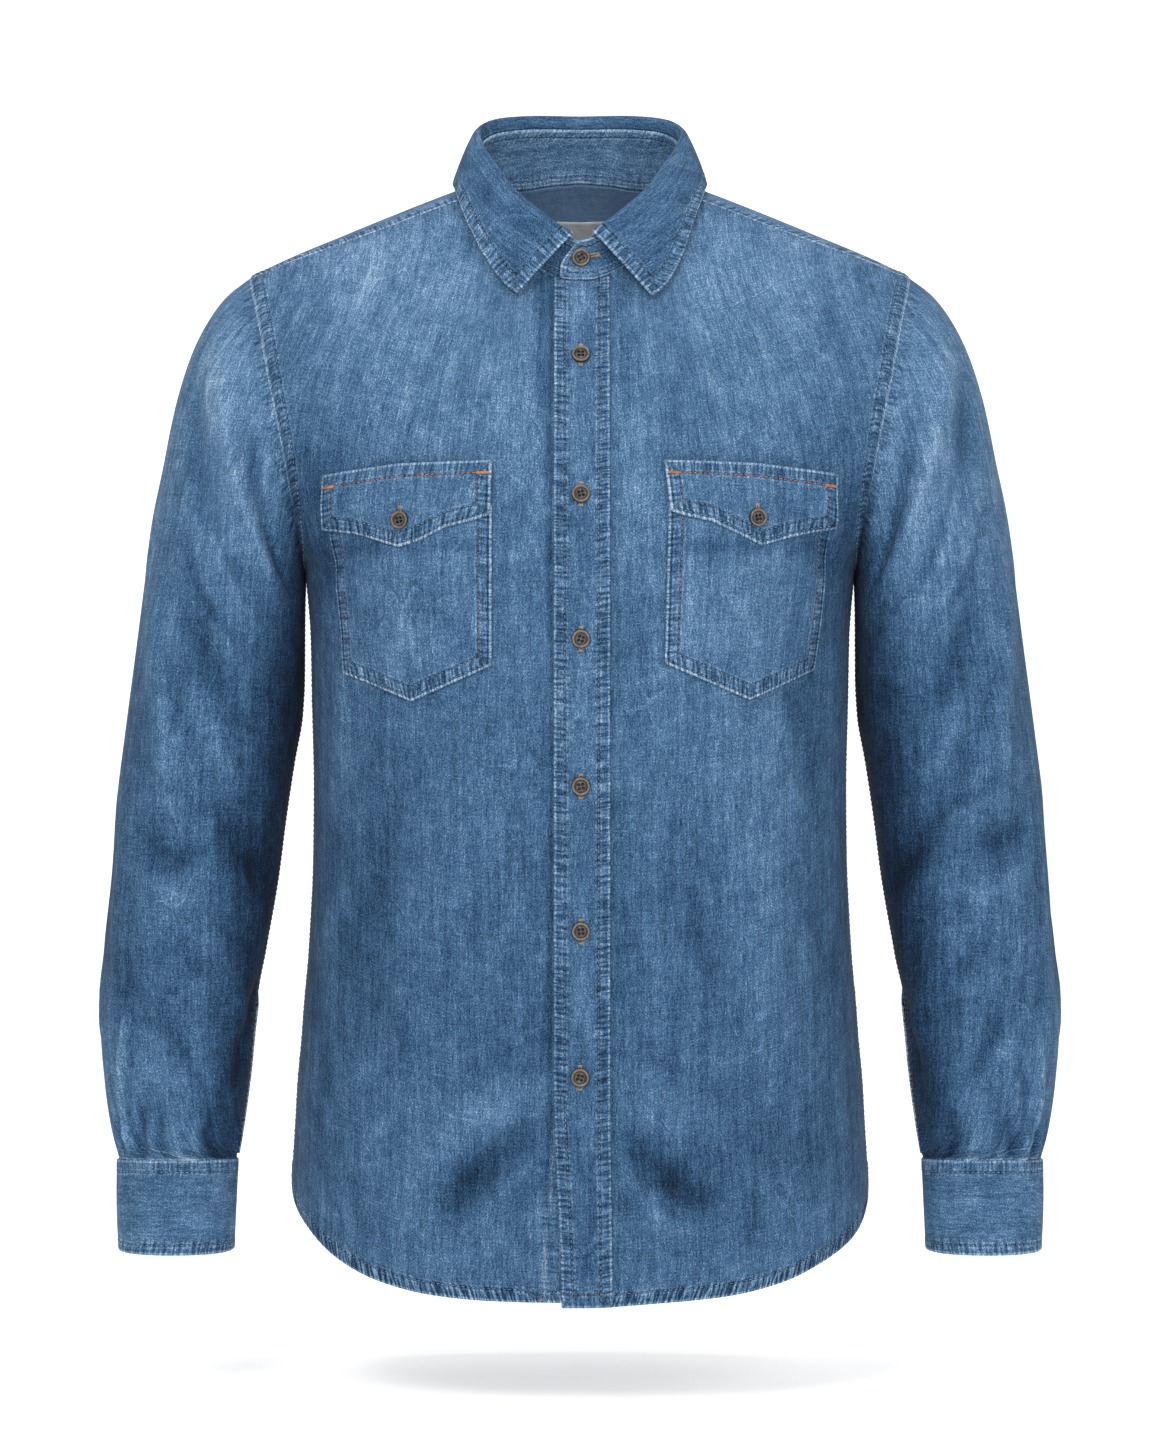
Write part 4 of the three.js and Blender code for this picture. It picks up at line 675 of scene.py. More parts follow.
fronts = {}
for sideName, flip in (("left", 1), ("right", -1)):
    J = spread(0, 13, 3, 28, 8, 48, 15)
    I = spread(0, 180, 12, 100, 23)
    x, z, under = frontGrid(J, I, frontHem[sideName], -16.4 if flip > 0 else -17, 0 if flip > 0 else 1.9)
    p, n, fold = bodyPoint(x * flip, z, -1)
    p = p - n * under[..., None]
    toFront, toSide = lengths(p, 1), lengths(p[:, ::-1], 1)[:, ::-1]
    toHem, toTop = lengths(p, 0), lengths(p[::-1], 0)[::-1]
    upper = (np.broadcast_to(I[:, None], x.shape) > 12) * 1.0
    armBand = seamBand(toSide, 9.5, 0.55) * ease(12, 12.6, np.broadcast_to(I[:, None], x.shape))
    ripple = pucker(toHem, toFront, 0.5, 9.5, -0.6, 11 + flip, at=6, wide=5)
    ripple = ripple + pucker(toSide, toHem, 0.3, 8, 0.2, 21 + flip, at=5, wide=5)
    wearAndPaintedLight = bodyWearAndPaintedLight(x * flip, z, -1, fold) + 0.06 * ripple
    # A dark line just beyond the band's edge, near the hem: painted shadow of the band, deeper on the right front.
    wearAndPaintedLight = wearAndPaintedLight - (0.13 if flip < 0 else 0.09) * np.exp(-(((x - 19.5) / 2.6) ** 2)) * ease(-735, -690, z)
    lift = armBand + seamBand(toHem, 9.5, 0.35) + ripple - 0.45 * (1 - ease(0, 1.2, toSide))
    outer = p + n * lift[..., None]
    edges = [(toHem, toFront - 0.45 * toHem, 2.0, [7.6]), (toSide, toHem, mix(0.5, 1.2, upper), [8.0]), (toTop + 3, toFront, 0.5, [])]
    keepHem = (0.07 if flip > 0 else 0.0, 1.0)
    sewLevel("pale", outer, n, toHem, 7.6, keep=keepHem)
    sewLevel("pale", outer, n, toSide, 8.0, axis=1, fromEnd=True, length=2.6)
    if flip < 0:
        # The under band's inner edge, stitched down; it shows where the shirt swings open at the hem.
        facing = toFront - 8 * ease(-600, -735, z)
        edges.append((np.abs(facing - 33), toHem, 0.7 * ease(-600, -660, z) * (1 - ease(2, 5, facing - 33)), [0.0]))
        wearAndPaintedLight = wearAndPaintedLight + 0.09 * ease(-600, -680, z) * (1 - ease(-2, 1.5, facing - 34))
        sewLevel("rust", outer, n, facing, 33.0, axis=1)
    obj = shell("front_cloth_" + sideName, outer, n, cloth, "root", denimFace, denimBack, ["front_" + sideName],
                wearAndPaintedLight=wearAndPaintedLight, edges=edges, uv=panelUv(p))
print("fronts made")

# ---- button band ---------------------------------------------------------------

J = spread(0, 22, 3)
I = spread(0, 180, 12, 100, 22.95)
x, z, _ = frontGrid(J, I, frontHem["left"], -16.4, 0)
p, n, fold = bodyPoint(x, z, -1)
u = lengths(p, 1)
across = u / u[:, -1:]
run = lengths(p, 0)
wide = u[:, -1:]
nearEdge = np.minimum(u, wide - u)
wave = pucker(u, run, 0.42, 8.2, 0.25, 31, at=3, wide=3.6) + pucker(wide - u, run, 0.42, 7.6, -0.2, 33, at=3, wide=3.6)
middle = 0.3 * noise(run / 22, 0.0, 35) * np.sin(np.pi * across)
crumple = ease(-150, -88, z) * (0.7 * noise(run / 10, u / 7, 36) + 0.4 * noise(run / 5, u / 5, 37)) * np.sin(np.pi * clamp(across, 0, 1))
bandLift = 1.9 + wave + middle + crumple
band = p + n * bandLift[..., None]
# Band tone: part of the body's fades and painted light and shade, with its puckers and crumples, lighter down its
# middle.
bandWearAndPaintedLight = -0.045 + bodyWearAndPaintedLight(x, z, -1, fold) * 0.6 + 0.08 * wave + 0.12 * crumple + 0.04 * np.sin(np.pi * across)
obj = shell("placket_cloth", band, n, 1.5, "root", denimFace, denimBack, ["placket_band"], wearAndPaintedLight=bandWearAndPaintedLight,
            edges=[(u, run, 1.25, [6.6]), (wide - u, run + 50, 1.25, [6.9]), (run, u, 1.2, [8.2])], uv=panelUv(p))
sewLevel("pale", band, n, u, 6.6, axis=1)
sewLevel("pale", band, n, wide - u, 6.9, axis=1, fromEnd=True)
sewLevel("rust", band, n, run, 8.2)
print("band made")

# ---- back ----------------------------------------------------------------------

U = spread(-1, 150, 1)
low = spread(0, 150, 12)[:, None]
turnU = np.abs(U) * 90
zLow = mix(backHem(turnU), armpit, low / 12)
xLow = np.sign(U) * spanAt(zLow) * np.sin(turnU * deg)
high = np.linspace(0, 8, 56)[1:, None]
v = (high / 8) ** 1.45
outX, _ = armholeAt(mix(armpitTurn, endTurn, v))
part = mix(np.abs(xLow[-1]) / np.abs(xLow[-1, 0]), np.sin(np.abs(U) * 82 * deg) / math.sin(82 * deg), ease(0, 1, high / 8))
xHigh = outX * part
wHigh = mix(turnAt(np.abs(xLow[-1]), armpit), turnAt(xHigh, backSeam(xHigh)), v)
x = np.concatenate([xLow, np.sign(U) * xHigh])
z = np.concatenate([zLow, heightAt(xHigh, wHigh)])
p, n, fold = bodyPoint(x, z, 1)
toA, toB = lengths(p, 1), lengths(p[:, ::-1], 1)[:, ::-1]
toSide = np.minimum(toA, toB)
toHem, toTop = lengths(p, 0), lengths(p[::-1], 0)[::-1]
rowsUp = np.concatenate([low, 12 + high])[:, 0][:, None]
ripple = pucker(toHem, toA, 0.5, 9.5, -0.6, 41, at=6, wide=5) + pucker(toSide, toHem, 0.3, 8, 0.2, 43, at=5, wide=5)
lift = ripple + seamBand(toHem, 9.5, 0.35) + seamBand(toSide, 9.5, 0.55) * ease(12, 12.6, rowsUp) - 0.45 * (1 - ease(0, 1.2, toSide))
back = p + n * lift[..., None]
obj = shell("back_cloth", back, n, cloth, "root", denimFace, denimBack, ["back"],
            wearAndPaintedLight=bodyWearAndPaintedLight(x, z, 1, fold) + 0.10 * ripple, edges=[(toHem, toA - 0.45 * toHem, 2.0, [7.6]), (toSide, toHem, mix(0.5, 1.0, (rowsUp > 12) * 1.0), [8.0]), (toTop, toA, 0.6, [])],
            uv=panelUv(p, middle=75))
sewLevel("pale", back, n, toHem, 7.6)
sewLevel("pale", back, n, toA, 8.0, axis=1)
sewLevel("pale", back, n, toB, 8.0, axis=1, fromEnd=True)
backGrid = dict(p=back, n=n, toA=toA, toHem=toHem)
print("back made")

# ---- yoke ----------------------------------------------------------------------

K = spread(0, 6, 1, 36, 7, 42, 15)
K = np.concatenate([K, 30 - K[-2::-1]])
V = np.linspace(0, 1, 66)[:, None]
half = np.minimum(K, 30 - K)
side = np.where(K < 15, -1.0, 1.0)
cornerX = float(neckAt(neckCorner)[0])
armX = float(armholeAt(tipTurn)[0])
topX = mix(armX, cornerX, clamp(half / 7, 0, 1))
topW = frontSeam(topX)
nx, nw = neckAt(mix(neckCorner, 0, clamp((half - 7) / 8, 0, 1) ** 0.9))
topX, topW = np.where(half > 7, nx, topX), np.where(half > 7, nw, topW)
lowX = seamEndX * np.sin((1 - half / 15) * 82 * deg) / math.sin(82 * deg)
lowW = turnAt(lowX, backSeam(lowX))
gx, gw = mix(topX, lowX, V), mix(topW, lowW, V)
armW = mix(-tipTurn, endTurn, V)
ax, az = armholeAt(armW)
near = 1 - clamp(half, 0, 1)
gx, gw = mix(gx, ax, near), mix(gw, armW, near)
p, n, fold = turned(gx * side, gw)
toA, toB = lengths(p, 1), lengths(p[:, ::-1], 1)[:, ::-1]
toArm = np.minimum(toA, toB)
toFront, toBack = lengths(p, 0), lengths(p[::-1], 0)[::-1]
ripple = pucker(toFront, toA, 0.28, 7.5, 0.3, 51, at=4, wide=4) + pucker(toArm, toFront, 0.4, 7.5, 0.2, 53, at=5, wide=5) + pucker(toBack, toA, 0.3, 8, 0.3, 55, at=5, wide=5)
lift = ripple + seamBand(toArm, 9.5, 0.55) + seamBand(toFront, 8, 0.3) * (half < 7) + seamBand(toBack, 8, 0.3) - 0.45 * (1 - ease(0, 1.2, toArm))
yoke = p + n * lift[..., None]
wearAndPaintedLight = 0.04 + 0.1 * ripple + 0.03 * ease(60, 140, np.abs(gx))
shoulderEnd = int((K < 7).sum())
edges = [(toArm, toFront, 1.0, [8.0]), (toFront + 60 * (half > 7), toA, 1.2, [7.0]), (toBack, toA, 1.0, [2.0, 8.0])]
sewLevel("pale", yoke[:, :shoulderEnd], n[:, :shoulderEnd], toFront[:, :shoulderEnd], 7.0)
sewLevel("pale", yoke[:, -shoulderEnd:], n[:, -shoulderEnd:], toFront[:, -shoulderEnd:], 7.0)
for level in (2.0, 8.0):
    sewLevel("pale", yoke, n, toBack, level, fromEnd=True)
sewLevel("pale", yoke, n, toA, 8.0, axis=1)
sewLevel("pale", yoke, n, toB, 8.0, axis=1, fromEnd=True)
obj = shell("yoke_cloth", yoke, n, cloth, "root", denimTrim, yokeLiningPaintedLight, ["yoke"], wearAndPaintedLight=wearAndPaintedLight,
            edges=edges, uv=panelUv(p, middle=len(K) // 2))
print("yoke made")

# ---- sleeves -------------------------------------------------------------------

sleeveForm = table(("s", "outX", "outZ", "inX", "inZ", "front", "back", "midY"), [
    (0, 222, -58.5, 185.3, -254, 72, 83, 0), (1, 240, -72, 185.5, -263, 75, 83, 0), (2, 258, -99, 185.8, -273, 76, 82, 0),
    (3, 272, -139, 186.1, -287, 76, 80, 1), (4, 283, -193, 186.2, -304, 75, 78, 2), (5, 292, -247, 186.3, -326, 73, 75, 2),
    (6, 299, -301, 187.6, -352, 70, 72, 1), (7, 306, -355, 193, -384, 66, 68, -1), (8, 312.5, -408, 198.5, -422, 61, 64, -4),
    (9, 317.5, -460, 203.5, -463, 56, 60, -9), (10, 321, -510, 211, -508, 52, 56, -16), (11, 321.5, -555, 218, -552, 49, 52, -24),
    (12, 318, -598, 222, -594, 47, 49, -31), (13, 312.5, -630, 226, -626, 44, 46, -37), (14, 307.5, -647.6, 229.4, -647.6, 36, 36, -40),
])
# Sleeve folds, as lines of turn and station: turn0 s0 turn1 s1 width height.
sleeveFolds = [
    (57, 1.5, 124, 3.2, 11, 5), (84, 1.3, 140, 2.7, 9, -3.6), (40, 2.4, 104, 4.3, 12, -3.4),
    (40, 5.2, 84, 7.4, 12, 4.4), (72, 4.9, 112, 6.6, 11, -3.6), (58, 7.0, 104, 8.2, 11, 4.2),
    (54, 8.4, 96, 8.7, 9, -4.2), (90, 7.5, 165, 9.2, 11, -4.4), (66, 9.2, 120, 9.9, 11, 3.4),
    (110, 9.8, 160, 11.2, 11, 3.4), (44, 10.2, 86, 11.3, 12, -3.2), (-60, 2.0, -118, 4.2, 13, 4.2),
    (-96, 4.6, -60, 7.0, 14, -4), (-130, 7.4, -70, 8.4, 12, 4.4), (-120, 8.9, -50, 9.4, 12, -3.6),
    (-60, 10.2, -100, 12.0, 12, 3), (10, 8.4, 30, 10.6, 14, -2.6), (176, 10.4, 150, 12.2, 10, -3),
    (70, 12.2, 64, 14.1, 7, -4.2), (96, 12.7, 100, 14.1, 6, 3), (38, 12.5, 30, 14.1, 6, -3.4),
    (124, 12.6, 134, 14.1, 7, -3.4), (-30, 12.5, -36, 14.1, 7, -3), (-84, 12.4, -78, 14.1, 7, -3.6),
    (-120, 12.8, -126, 14.1, 6, 2.6), (162, 12.8, 170, 14.1, 6, 2.6),
]
sleeveCreases = [
    (70, 3.4, 110, 4.6, 5, 1.3), (60, 4.4, 100, 5.2, 5, -1.2), (84, 6.4, 120, 7.6, 5, 1.2), (62, 6.2, 90, 7.2, 5, -1.1),
    (70, 7.6, 104, 8.0, 4.5, -1.5), (60, 8.9, 100, 9.3, 5, 1.6), (80, 9.6, 118, 10.4, 5, -1.3), (60, 10.6, 92, 11.6, 5, 1.2),
    (90, 11.0, 120, 12.2, 5, -1.2), (54, 10.9, 50, 13.6, 3.4, 2.0), (61, 11.4, 57, 13.6, 4, -1.2), (84, 12.4, 86, 14, 4, -1.4), (110, 12.6, 114, 14, 4, 1.3),
    (50, 12.7, 46, 14, 3.6, 1.4), (20, 12.6, 16, 14, 4, -1.3), (-80, 3.0, -110, 4.4, 5, -1.2), (-90, 6.0, -70, 7.2, 5, 1.2),
    (-100, 8.0, -60, 8.6, 5, -1.3), (-90, 10.6, -70, 11.8, 5, 1.1), (-55, 12.6, -58, 14, 4, 1.3), (-102, 12.7, -100, 14, 4, -1.3),
    (10, 4.0, 30, 5.6, 6, 0.9), (0, 10.2, 24, 11.4, 5, 1.0), (40, 1.4, 70, 2.6, 6, 1.2), (-40, 1.4, -76, 2.8, 6, 1.1),
]


def sleeveFold(folds, turn, s, flip):
    total = 0.0
    for t0, s0, t1, s1, width, height in folds:
        shift = 8 * math.sin(s0 * 3.1 + t0) if flip > 0 else 0
        dx, dy = (t1 - t0) * 1.02, (s1 - s0) * 42
        length = math.hypot(dx, dy)
        across = turn - t0 - shift
        across = across - 360 * np.round(across / 360)
        a, b = across * 1.02, (s - s0 - shift * 0.02) * 42
        along = (a * dx + b * dy) / length**2
        off = (a * dy - b * dx) / length + 0.07 * length * np.sin(np.pi * clamp(along, 0, 1))
        total = total + height * ease(-0.2, 0.3, along) * (1 - ease(0.65, 1.2, along)) * np.exp(-((off / width) ** 2))
    return total * ease(0.1, 1.2, s) * (1 - 0.55 * ease(13.6, 14, s))


def ringPoint(turn, s, flip):
    f = sleeveForm
    c, r = np.cos(turn * deg), np.sin(turn * deg)
    along = np.sign(c) * np.abs(c) ** (2 / 2.2)
    side = np.sign(r) * np.abs(r) ** (2 / 2.2)
    x = (f["outX"](s) + f["inX"](s)) / 2 + along * (f["outX"](s) - f["inX"](s)) / 2
    z = (f["outZ"](s) + f["inZ"](s)) / 2 + along * (f["outZ"](s) - f["inZ"](s)) / 2
    y = f["midY"](s) - side * np.where(side > 0, f["front"](s), f["back"](s))
    return stack(x * flip, y, z + 1.8 * np.maximum(0, side) * ease(12, 14, s))


def wrapTurn(a):
    return a - 360 * np.floor((a + 180) / 360)


# The armhole, as even steps along its own length from the front tip down, round and over.
def armholeRing(flip, steps):
    w = np.concatenate([np.linspace(tipTurn, armpitTurn, 700), np.linspace(armpitTurn, 0, 700)[1:], np.linspace(0, tipTurn, 60)[1:-1]])
    side = np.concatenate([-np.ones(700), np.ones(699), -np.ones(58)])
    ax, az = armholeAt(w)
    q, n, _ = bodyPoint(ax * flip, az, side)
    closed = np.concatenate([q, q[:1]])
    run = np.concatenate([[0], np.cumsum(np.linalg.norm(np.diff(closed, axis=0), axis=1))])
    want = np.linspace(0, run[-1], steps, endpoint=False)
    nn = np.concatenate([n, n[:1]])
    pick = lambda arr: np.stack([np.interp(want, run, arr[:, c]) for c in range(3)], -1)
    return pick(closed), unit(pick(nn))


# The sleeve's grain lies down the arm: u is the way round a level section from its outer side, v the way down.
def sleeveUv(p, turn, flip):
    f, s = sleeveForm, np.linspace(0, 14, 300)
    level = lambda at, values: np.interp(-p[..., 2], -at, values)
    outX, outZ, mid = f["outX"](s), f["outZ"](s), (f["outZ"](s) + f["inZ"](s)) / 2
    outer, inner = level(outZ, outX), level(f["inZ"](s), f["inX"](s))
    wide = (outer - inner) / 2
    deep = level(mid, f["front"](s)) * np.sqrt(clamp(1 - (np.maximum(0, p[..., 2] + 156) / 100) ** 2, 0.03, 1))
    angle = np.arctan2((level(mid, f["midY"](s)) - p[..., 1]) / deep, (p[..., 0] * flip - outer + wide) / wide) / deg
    angle = angle + 360 * np.round((turn - angle) / 360)
    down = np.concatenate([[0], np.cumsum(np.hypot(np.diff(outX), np.diff(outZ)))])
    return np.stack([(angle - 360) * deg * np.sqrt((wide * wide + deep * deep) / 2), level(outZ, down)], -1)


sleeves = {}
for sideName, flip in (("left", 1), ("right", -1)):
    cols = 132
    ring, ringN = armholeRing(flip, cols)
    centre, halfWay = np.array([203.65 * flip, 0, -156.25]), np.array([18.35 * flip, 0, 97.75])
    lowest = int(np.argmin(ring[:, 2]))
    ring, ringN = np.roll(ring, -lowest, axis=0), np.roll(ringN, -lowest, axis=0)
    d = ring - centre
    c, r = d @ halfWay / (halfWay @ halfWay), -d[:, 1] / np.where(d[:, 1] < 0, 72, 83)
    turns = np.arctan2(np.sign(r) * np.abs(r) ** 1.1, np.sign(c) * np.abs(c) ** 1.1) / deg
    drift = ring - ringPoint(turns, 0.0, flip)
    first = turns[0]
    ordered = first + (turns - first) % 360
    even = first + 360 * np.arange(cols) / cols
    S = spread(0, 22, 1, 24, 2.5, 130, 12.5, 30, 14)[:, None]
    turn = mix(ordered, even, ease(0.5, 9, S))
    base = ringPoint(turn, S, flip) + drift * (1 - ease(0, 2.2, S))[..., None]
    n = gridNormals(base, True, base - base.mean(1, keepdims=True))
    clear = 1 - 0.9 * ease(0.75, 0.95, -np.cos(turn * deg)) * (1 - ease(6.5, 9, S))
    t = wrapTurn(turn)
    crease = clear * sleeveFold(sleeveCreases, t, S, flip)
    fold = clear * 1.15 * sleeveFold(sleeveFolds, t, S, flip) + 1.4 * crease
    p = base + n * fold[..., None]
    closedP = np.concatenate([p, p[:, :1]], axis=1)
    runAround = lengths(closedP, 1)[:, :-1]
    toArm, toCuff = lengths(p, 0), lengths(p[::-1], 0)[::-1]
    ripple = pucker(toArm, runAround, 0.25, 8, 0.1, 61 + flip, at=3, wide=4) * ease(0, 1.5, toArm)
    outer = p + n * (ripple - 0.12)[..., None]
    n2 = gridNormals(outer, True, n)
    uv = sleeveUv(base, turn, flip)
    girth = lengths(closedP, 1)[:, -1:]
    toSeam = np.minimum(runAround, girth - runAround)
    inward = -np.cos(turn * deg)
    # Sleeve tone: along folds and creases, troughs darker as painted shade and ridges lighter, partly wash wear and
    # partly painted highlight; the inner side that faces the body darker, painted shade, deepest near the armhole;
    # further down, darker from station 3 to 7, lighter again from 10 to 12 and near the top; lighter and blotchy within
    # 12 mm of the cuff.
    wearAndPaintedLight = 0.03 + 0.055 * clamp(crease, -1.2, 2) + 0.036 * clamp(fold, -5, 0) + 0.014 * clamp(fold, 0, 6) + 0.2 * ripple - 0.3 * ease(0.15, 0.95, inward) - 0.10 * (1 - ease(0, 14, toArm)) * ease(0.2, 0.9, inward)
    wearAndPaintedLight = wearAndPaintedLight - 0.11 * ease(3, 7, S) + 0.065 * ease(10, 12, S) + 0.05 * ease(0, 1, S) * (1 - ease(3, 6, S))
    wearAndPaintedLight = wearAndPaintedLight + (1 - ease(0, 12, toCuff)) * (0.06 + 0.16 * noise(runAround / 5, toCuff / 30, 65))
    sleeves[sideName] = dict(p=outer, n=n2, turn=turn, S=S[:, 0], ring=ring, ringN=ringN)
    obj = shell("sleeve_cloth_" + sideName, outer, n2, cloth, "root", denimFace, denimBack, ["sleeve_" + sideName], ring=True,
                wearAndPaintedLight=wearAndPaintedLight, edges=[(toArm, runAround, 0.7, []), (toCuff, runAround, 0.9, []), (toSeam, toArm, 1.0, [2.0, 8.0])], uv=uv)
    sewLevel("rust", outer, n2, runAround, 8.0, axis=1, keep=(0.02, 0.99))
print("sleeves made")

# ---- collar stand ----------------------------------------------------------------

standForm = table(("turn", "topY", "topZ"), [
    (0, 46, 49.6), (20, 43.5, 49.6), (45, 33, 47.2), (90, 2, 33.4), (125, -37, 9.4), (138, -50, -6), (152, -61, -19),
    (166, -70, -31), (176, -74, -37.5), (180, -74.5, -38.5), (192, -72, -41),
])


def standOut(turn):
    return unit(stack(np.sin(turn * deg) / 72, np.cos(turn * deg) / 62, 0 * turn))


def standTop(turn):
    a = np.abs(turn)
    lap = np.where(turn > 0, 1.2 * ease(160, 176, a), -1.9 * ease(150, 164, a))
    return stack(67.6 * np.sin(turn * deg), standForm["topY"](a), standForm["topZ"](a)) + standOut(turn) * lap[..., None]


def neckPoint(turn):
    x, w = neckAt(np.abs(turn))
    p, n, _ = turned(np.sign(turn) * x, w, 0.0)
    under = np.where(turn < 0, 1.9 * (1 - ease(20, 36, np.abs(p[..., 0]))) * (np.abs(turn) > 120), 0)
    return p - n * under[..., None]


def standPoint(turn, v):
    lap = np.where(turn > 0, 1.2 * ease(160, 176, turn) * (1 - v), 0)
    return mix(neckPoint(turn), standTop(turn), v[..., None]) + standOut(turn) * (lap + 1.6 * np.sin(np.pi * v))[..., None]


T = np.linspace(-189.6, 190.0, 210)[None, :]
V = np.linspace(0, 1, 15)[:, None]
T2, V2 = np.broadcast_arrays(T, V)
back = 9 * np.maximum(0, V2 - 0.3) ** 1.7 * 1.8 * ease(172, 190, T2)
p = standPoint(T2 - back, mix(0.02, 0.99, V2))
away = standOut(T2)
n = gridNormals(p, False, away)
run = lengths(p, 1)
rise = lengths(p, 0)
tall = rise[-1:]
toEdge = np.minimum(rise, tall - rise)
toEnd = np.minimum(run, run[:, -1:] - run)
ripple = pucker(toEdge, run, 0.22, 7, 0.2, 71, at=3, wide=3.5)
stand = p + n * ripple[..., None]
# Lighter and darker with its puckers; darker near each front end (turn about ±162), painted shade where the leaf hangs
# over it.
wearAndPaintedLight = 0.05 + 0.1 * ripple - 0.16 * np.exp(-(((T2 - 162) / 8) ** 2)) - 0.2 * np.exp(-(((T2 + 162) / 14) ** 2))
obj = shell("stand_cloth", stand, n, 2.0, "root", denimTrim, denimTrim, ["collar_stand"], wearAndPaintedLight=wearAndPaintedLight,
            edges=[(toEdge, run, 0.5, [4.5]), (toEnd, rise, 0.6, [4.5])], uv=panelUv(p))
for sideUp in (stand, stand - n * 2.0):
    out = n if sideUp is stand else -n
    sewLevel("pale", sideUp, out, rise, 4.5, keep=(0.02, 0.98))
    sewLevel("pale", sideUp, out, tall - rise, 4.0, fromEnd=True, keep=(0.02, 0.98))
sewLevel("pale", stand, n, run[:, -1:] - run, 4.5, axis=1, fromEnd=True, keep=(0.25, 0.8))

# ---- collar leaf -----------------------------------------------------------------

leafEdge = table(("turn", "x", "w"), [
    (0, 0, 43), (20, 32, 40), (40, 61, 32), (58, 78, 19), (75, 83.5, 3), (90, 84.2, -8), (108, 82, -24), (126, 76.5, -42),
    (142, 69, -57), (156, 60, -70), (168, 50, -80.5), (176, 41.5, -86.4),
])
leafRoll = table(("turn", "rise", "out"), [(0, 8.8, 6.8), (60, 9.0, 5.2), (90, 9.2, 4.4), (125, 7, 5.6), (150, 6, 5.8), (170, 4.6, 5.8), (177, 3.6, 5.4)])


def leafLines(turn):
    a = np.abs(turn)
    s = np.where(turn < 0, -1.0, 1.0)
    full = np.where(turn < 0, 176 * a / 175.6, 176 * a / 173.2)
    edgeX = leafEdge["x"](full) + np.where(turn > 0, 6 * ease(120, 173, a), 0)
    edge, edgeN, _ = turned(edgeX * s, leafEdge["w"](full), 0.0)
    end = edge + edgeN * 5.2
    out = standOut(turn)
    up = np.array([0, 0, 1.0])
    rise, wide = leafRoll["rise"](a)[:, None], leafRoll["out"](a)[:, None]
    start = standTop(turn) + up * 0.9 - out * 1.4
    over = start + up * rise * 0.76 + out * (wide + 1.4)
    fall = end - over
    lift = unit(out + up * 0.4)
    return np.stack([
        start, start + up * rise * 0.55 + out * wide * 0.1, start + up * rise + out * wide * 0.48, over,
        over + fall * 0.14 + lift * 0.8, over + fall * 0.34 + lift * 1.2, over + fall * 0.56 + lift * 1.2, over + fall * 0.78 + lift * 0.8, end,
    ])


def smoothLine(q, t):
    """Points of a smooth curve through q[0], q[1], ... at t."""
    i = clamp(np.floor(t), 0, len(q) - 2).astype(int)
    u = (t - i)[:, None, None]
    a, b, c, d = q[np.maximum(i - 1, 0)], q[i], q[i + 1], q[np.minimum(i + 2, len(q) - 1)]
    return 0.5 * (2 * b + (c - a) * u + (2 * a - 5 * b + 4 * c - d) * u**2 + (3 * b - a - 3 * c + d) * u**3)


turnLeaf = np.linspace(-175.6, 173.2, 190)
t = spread(0, 12, 3, 26, 8)
p = smoothLine(leafLines(turnLeaf), t)
hint = standOut(turnLeaf)[None] * np.interp(t, [0, 1, 2, 3], [-1, -1, 0, 1])[:, None, None] + np.array([0, 0, 1.0]) * np.interp(t, [1, 2, 3], [0, 1, 0.3])[:, None, None]
n = gridNormals(p, False, hint)
run = lengths(p, 1)
drop = lengths(p, 0)
toEdge = drop[-1:] - drop
toEnd = np.minimum(run, run[:, -1:] - run)
near = np.minimum(toEdge, toEnd)
ripple = pucker(toEdge, run, 0.4, 7.5, 0.6, 81, at=4.5, wide=4.2) + pucker(toEnd, drop, 0.4, 7, 0.5, 83, at=4.5, wide=4)
leaf = p + n * (ripple * ease(0, 1.5, drop))[..., None]
wearAndPaintedLight = -0.07 + 0.1 * ripple + 0.09 * (1 - ease(6, 10, near)) + 0.02 * (1 - ease(0, 12, np.abs(drop - drop[12:13])))
obj = shell("leaf_cloth", leaf, n, 1.7, "root", denimTrim, denimTrim, ["collar_leaf"], wearAndPaintedLight=wearAndPaintedLight,
            edges=[(toEdge, run, 1.3, [8.4]), (toEnd, drop, 1.3, [8.4])], uv=panelUv(p))
inLine = (8.4 / run[-1, -1], 1 - 8.4 / run[-1, -1])
sewLevel("pale", leaf, n, toEdge, 8.4, fromEnd=True, keep=inLine)
for flipped in (False, True):
    sewLevel("pale", leaf, n, run[:, -1:] - run if flipped else run, 8.4, axis=1, fromEnd=flipped, keep=(0.42, 0.88))
print("collar made")

# ---- neck label --------------------------------------------------------------------

x = 2 + 18.5 * np.linspace(-1, 1, 24)[None, :]
z = -9 - 44 * np.linspace(0, 1, 26)[:, None]
p, n, _ = bodyPoint(x, z, 1, 0.0)
lx, lz = np.broadcast_arrays(x, z)
curl = 0.25 * np.cos((lx - 2) / 18.5 * 2.4) + 0.2 * noise(lx / 12, lz / 14, 91)
p = p - n * (cloth + 0.9 + curl)[..., None]
obj = shell("label_tape", p, n, 0.7, "root", labelCloth, labelCloth, ["neck_label"], uv=panelUv(p))

# ---- pockets and flaps --------------------------------------------------------------

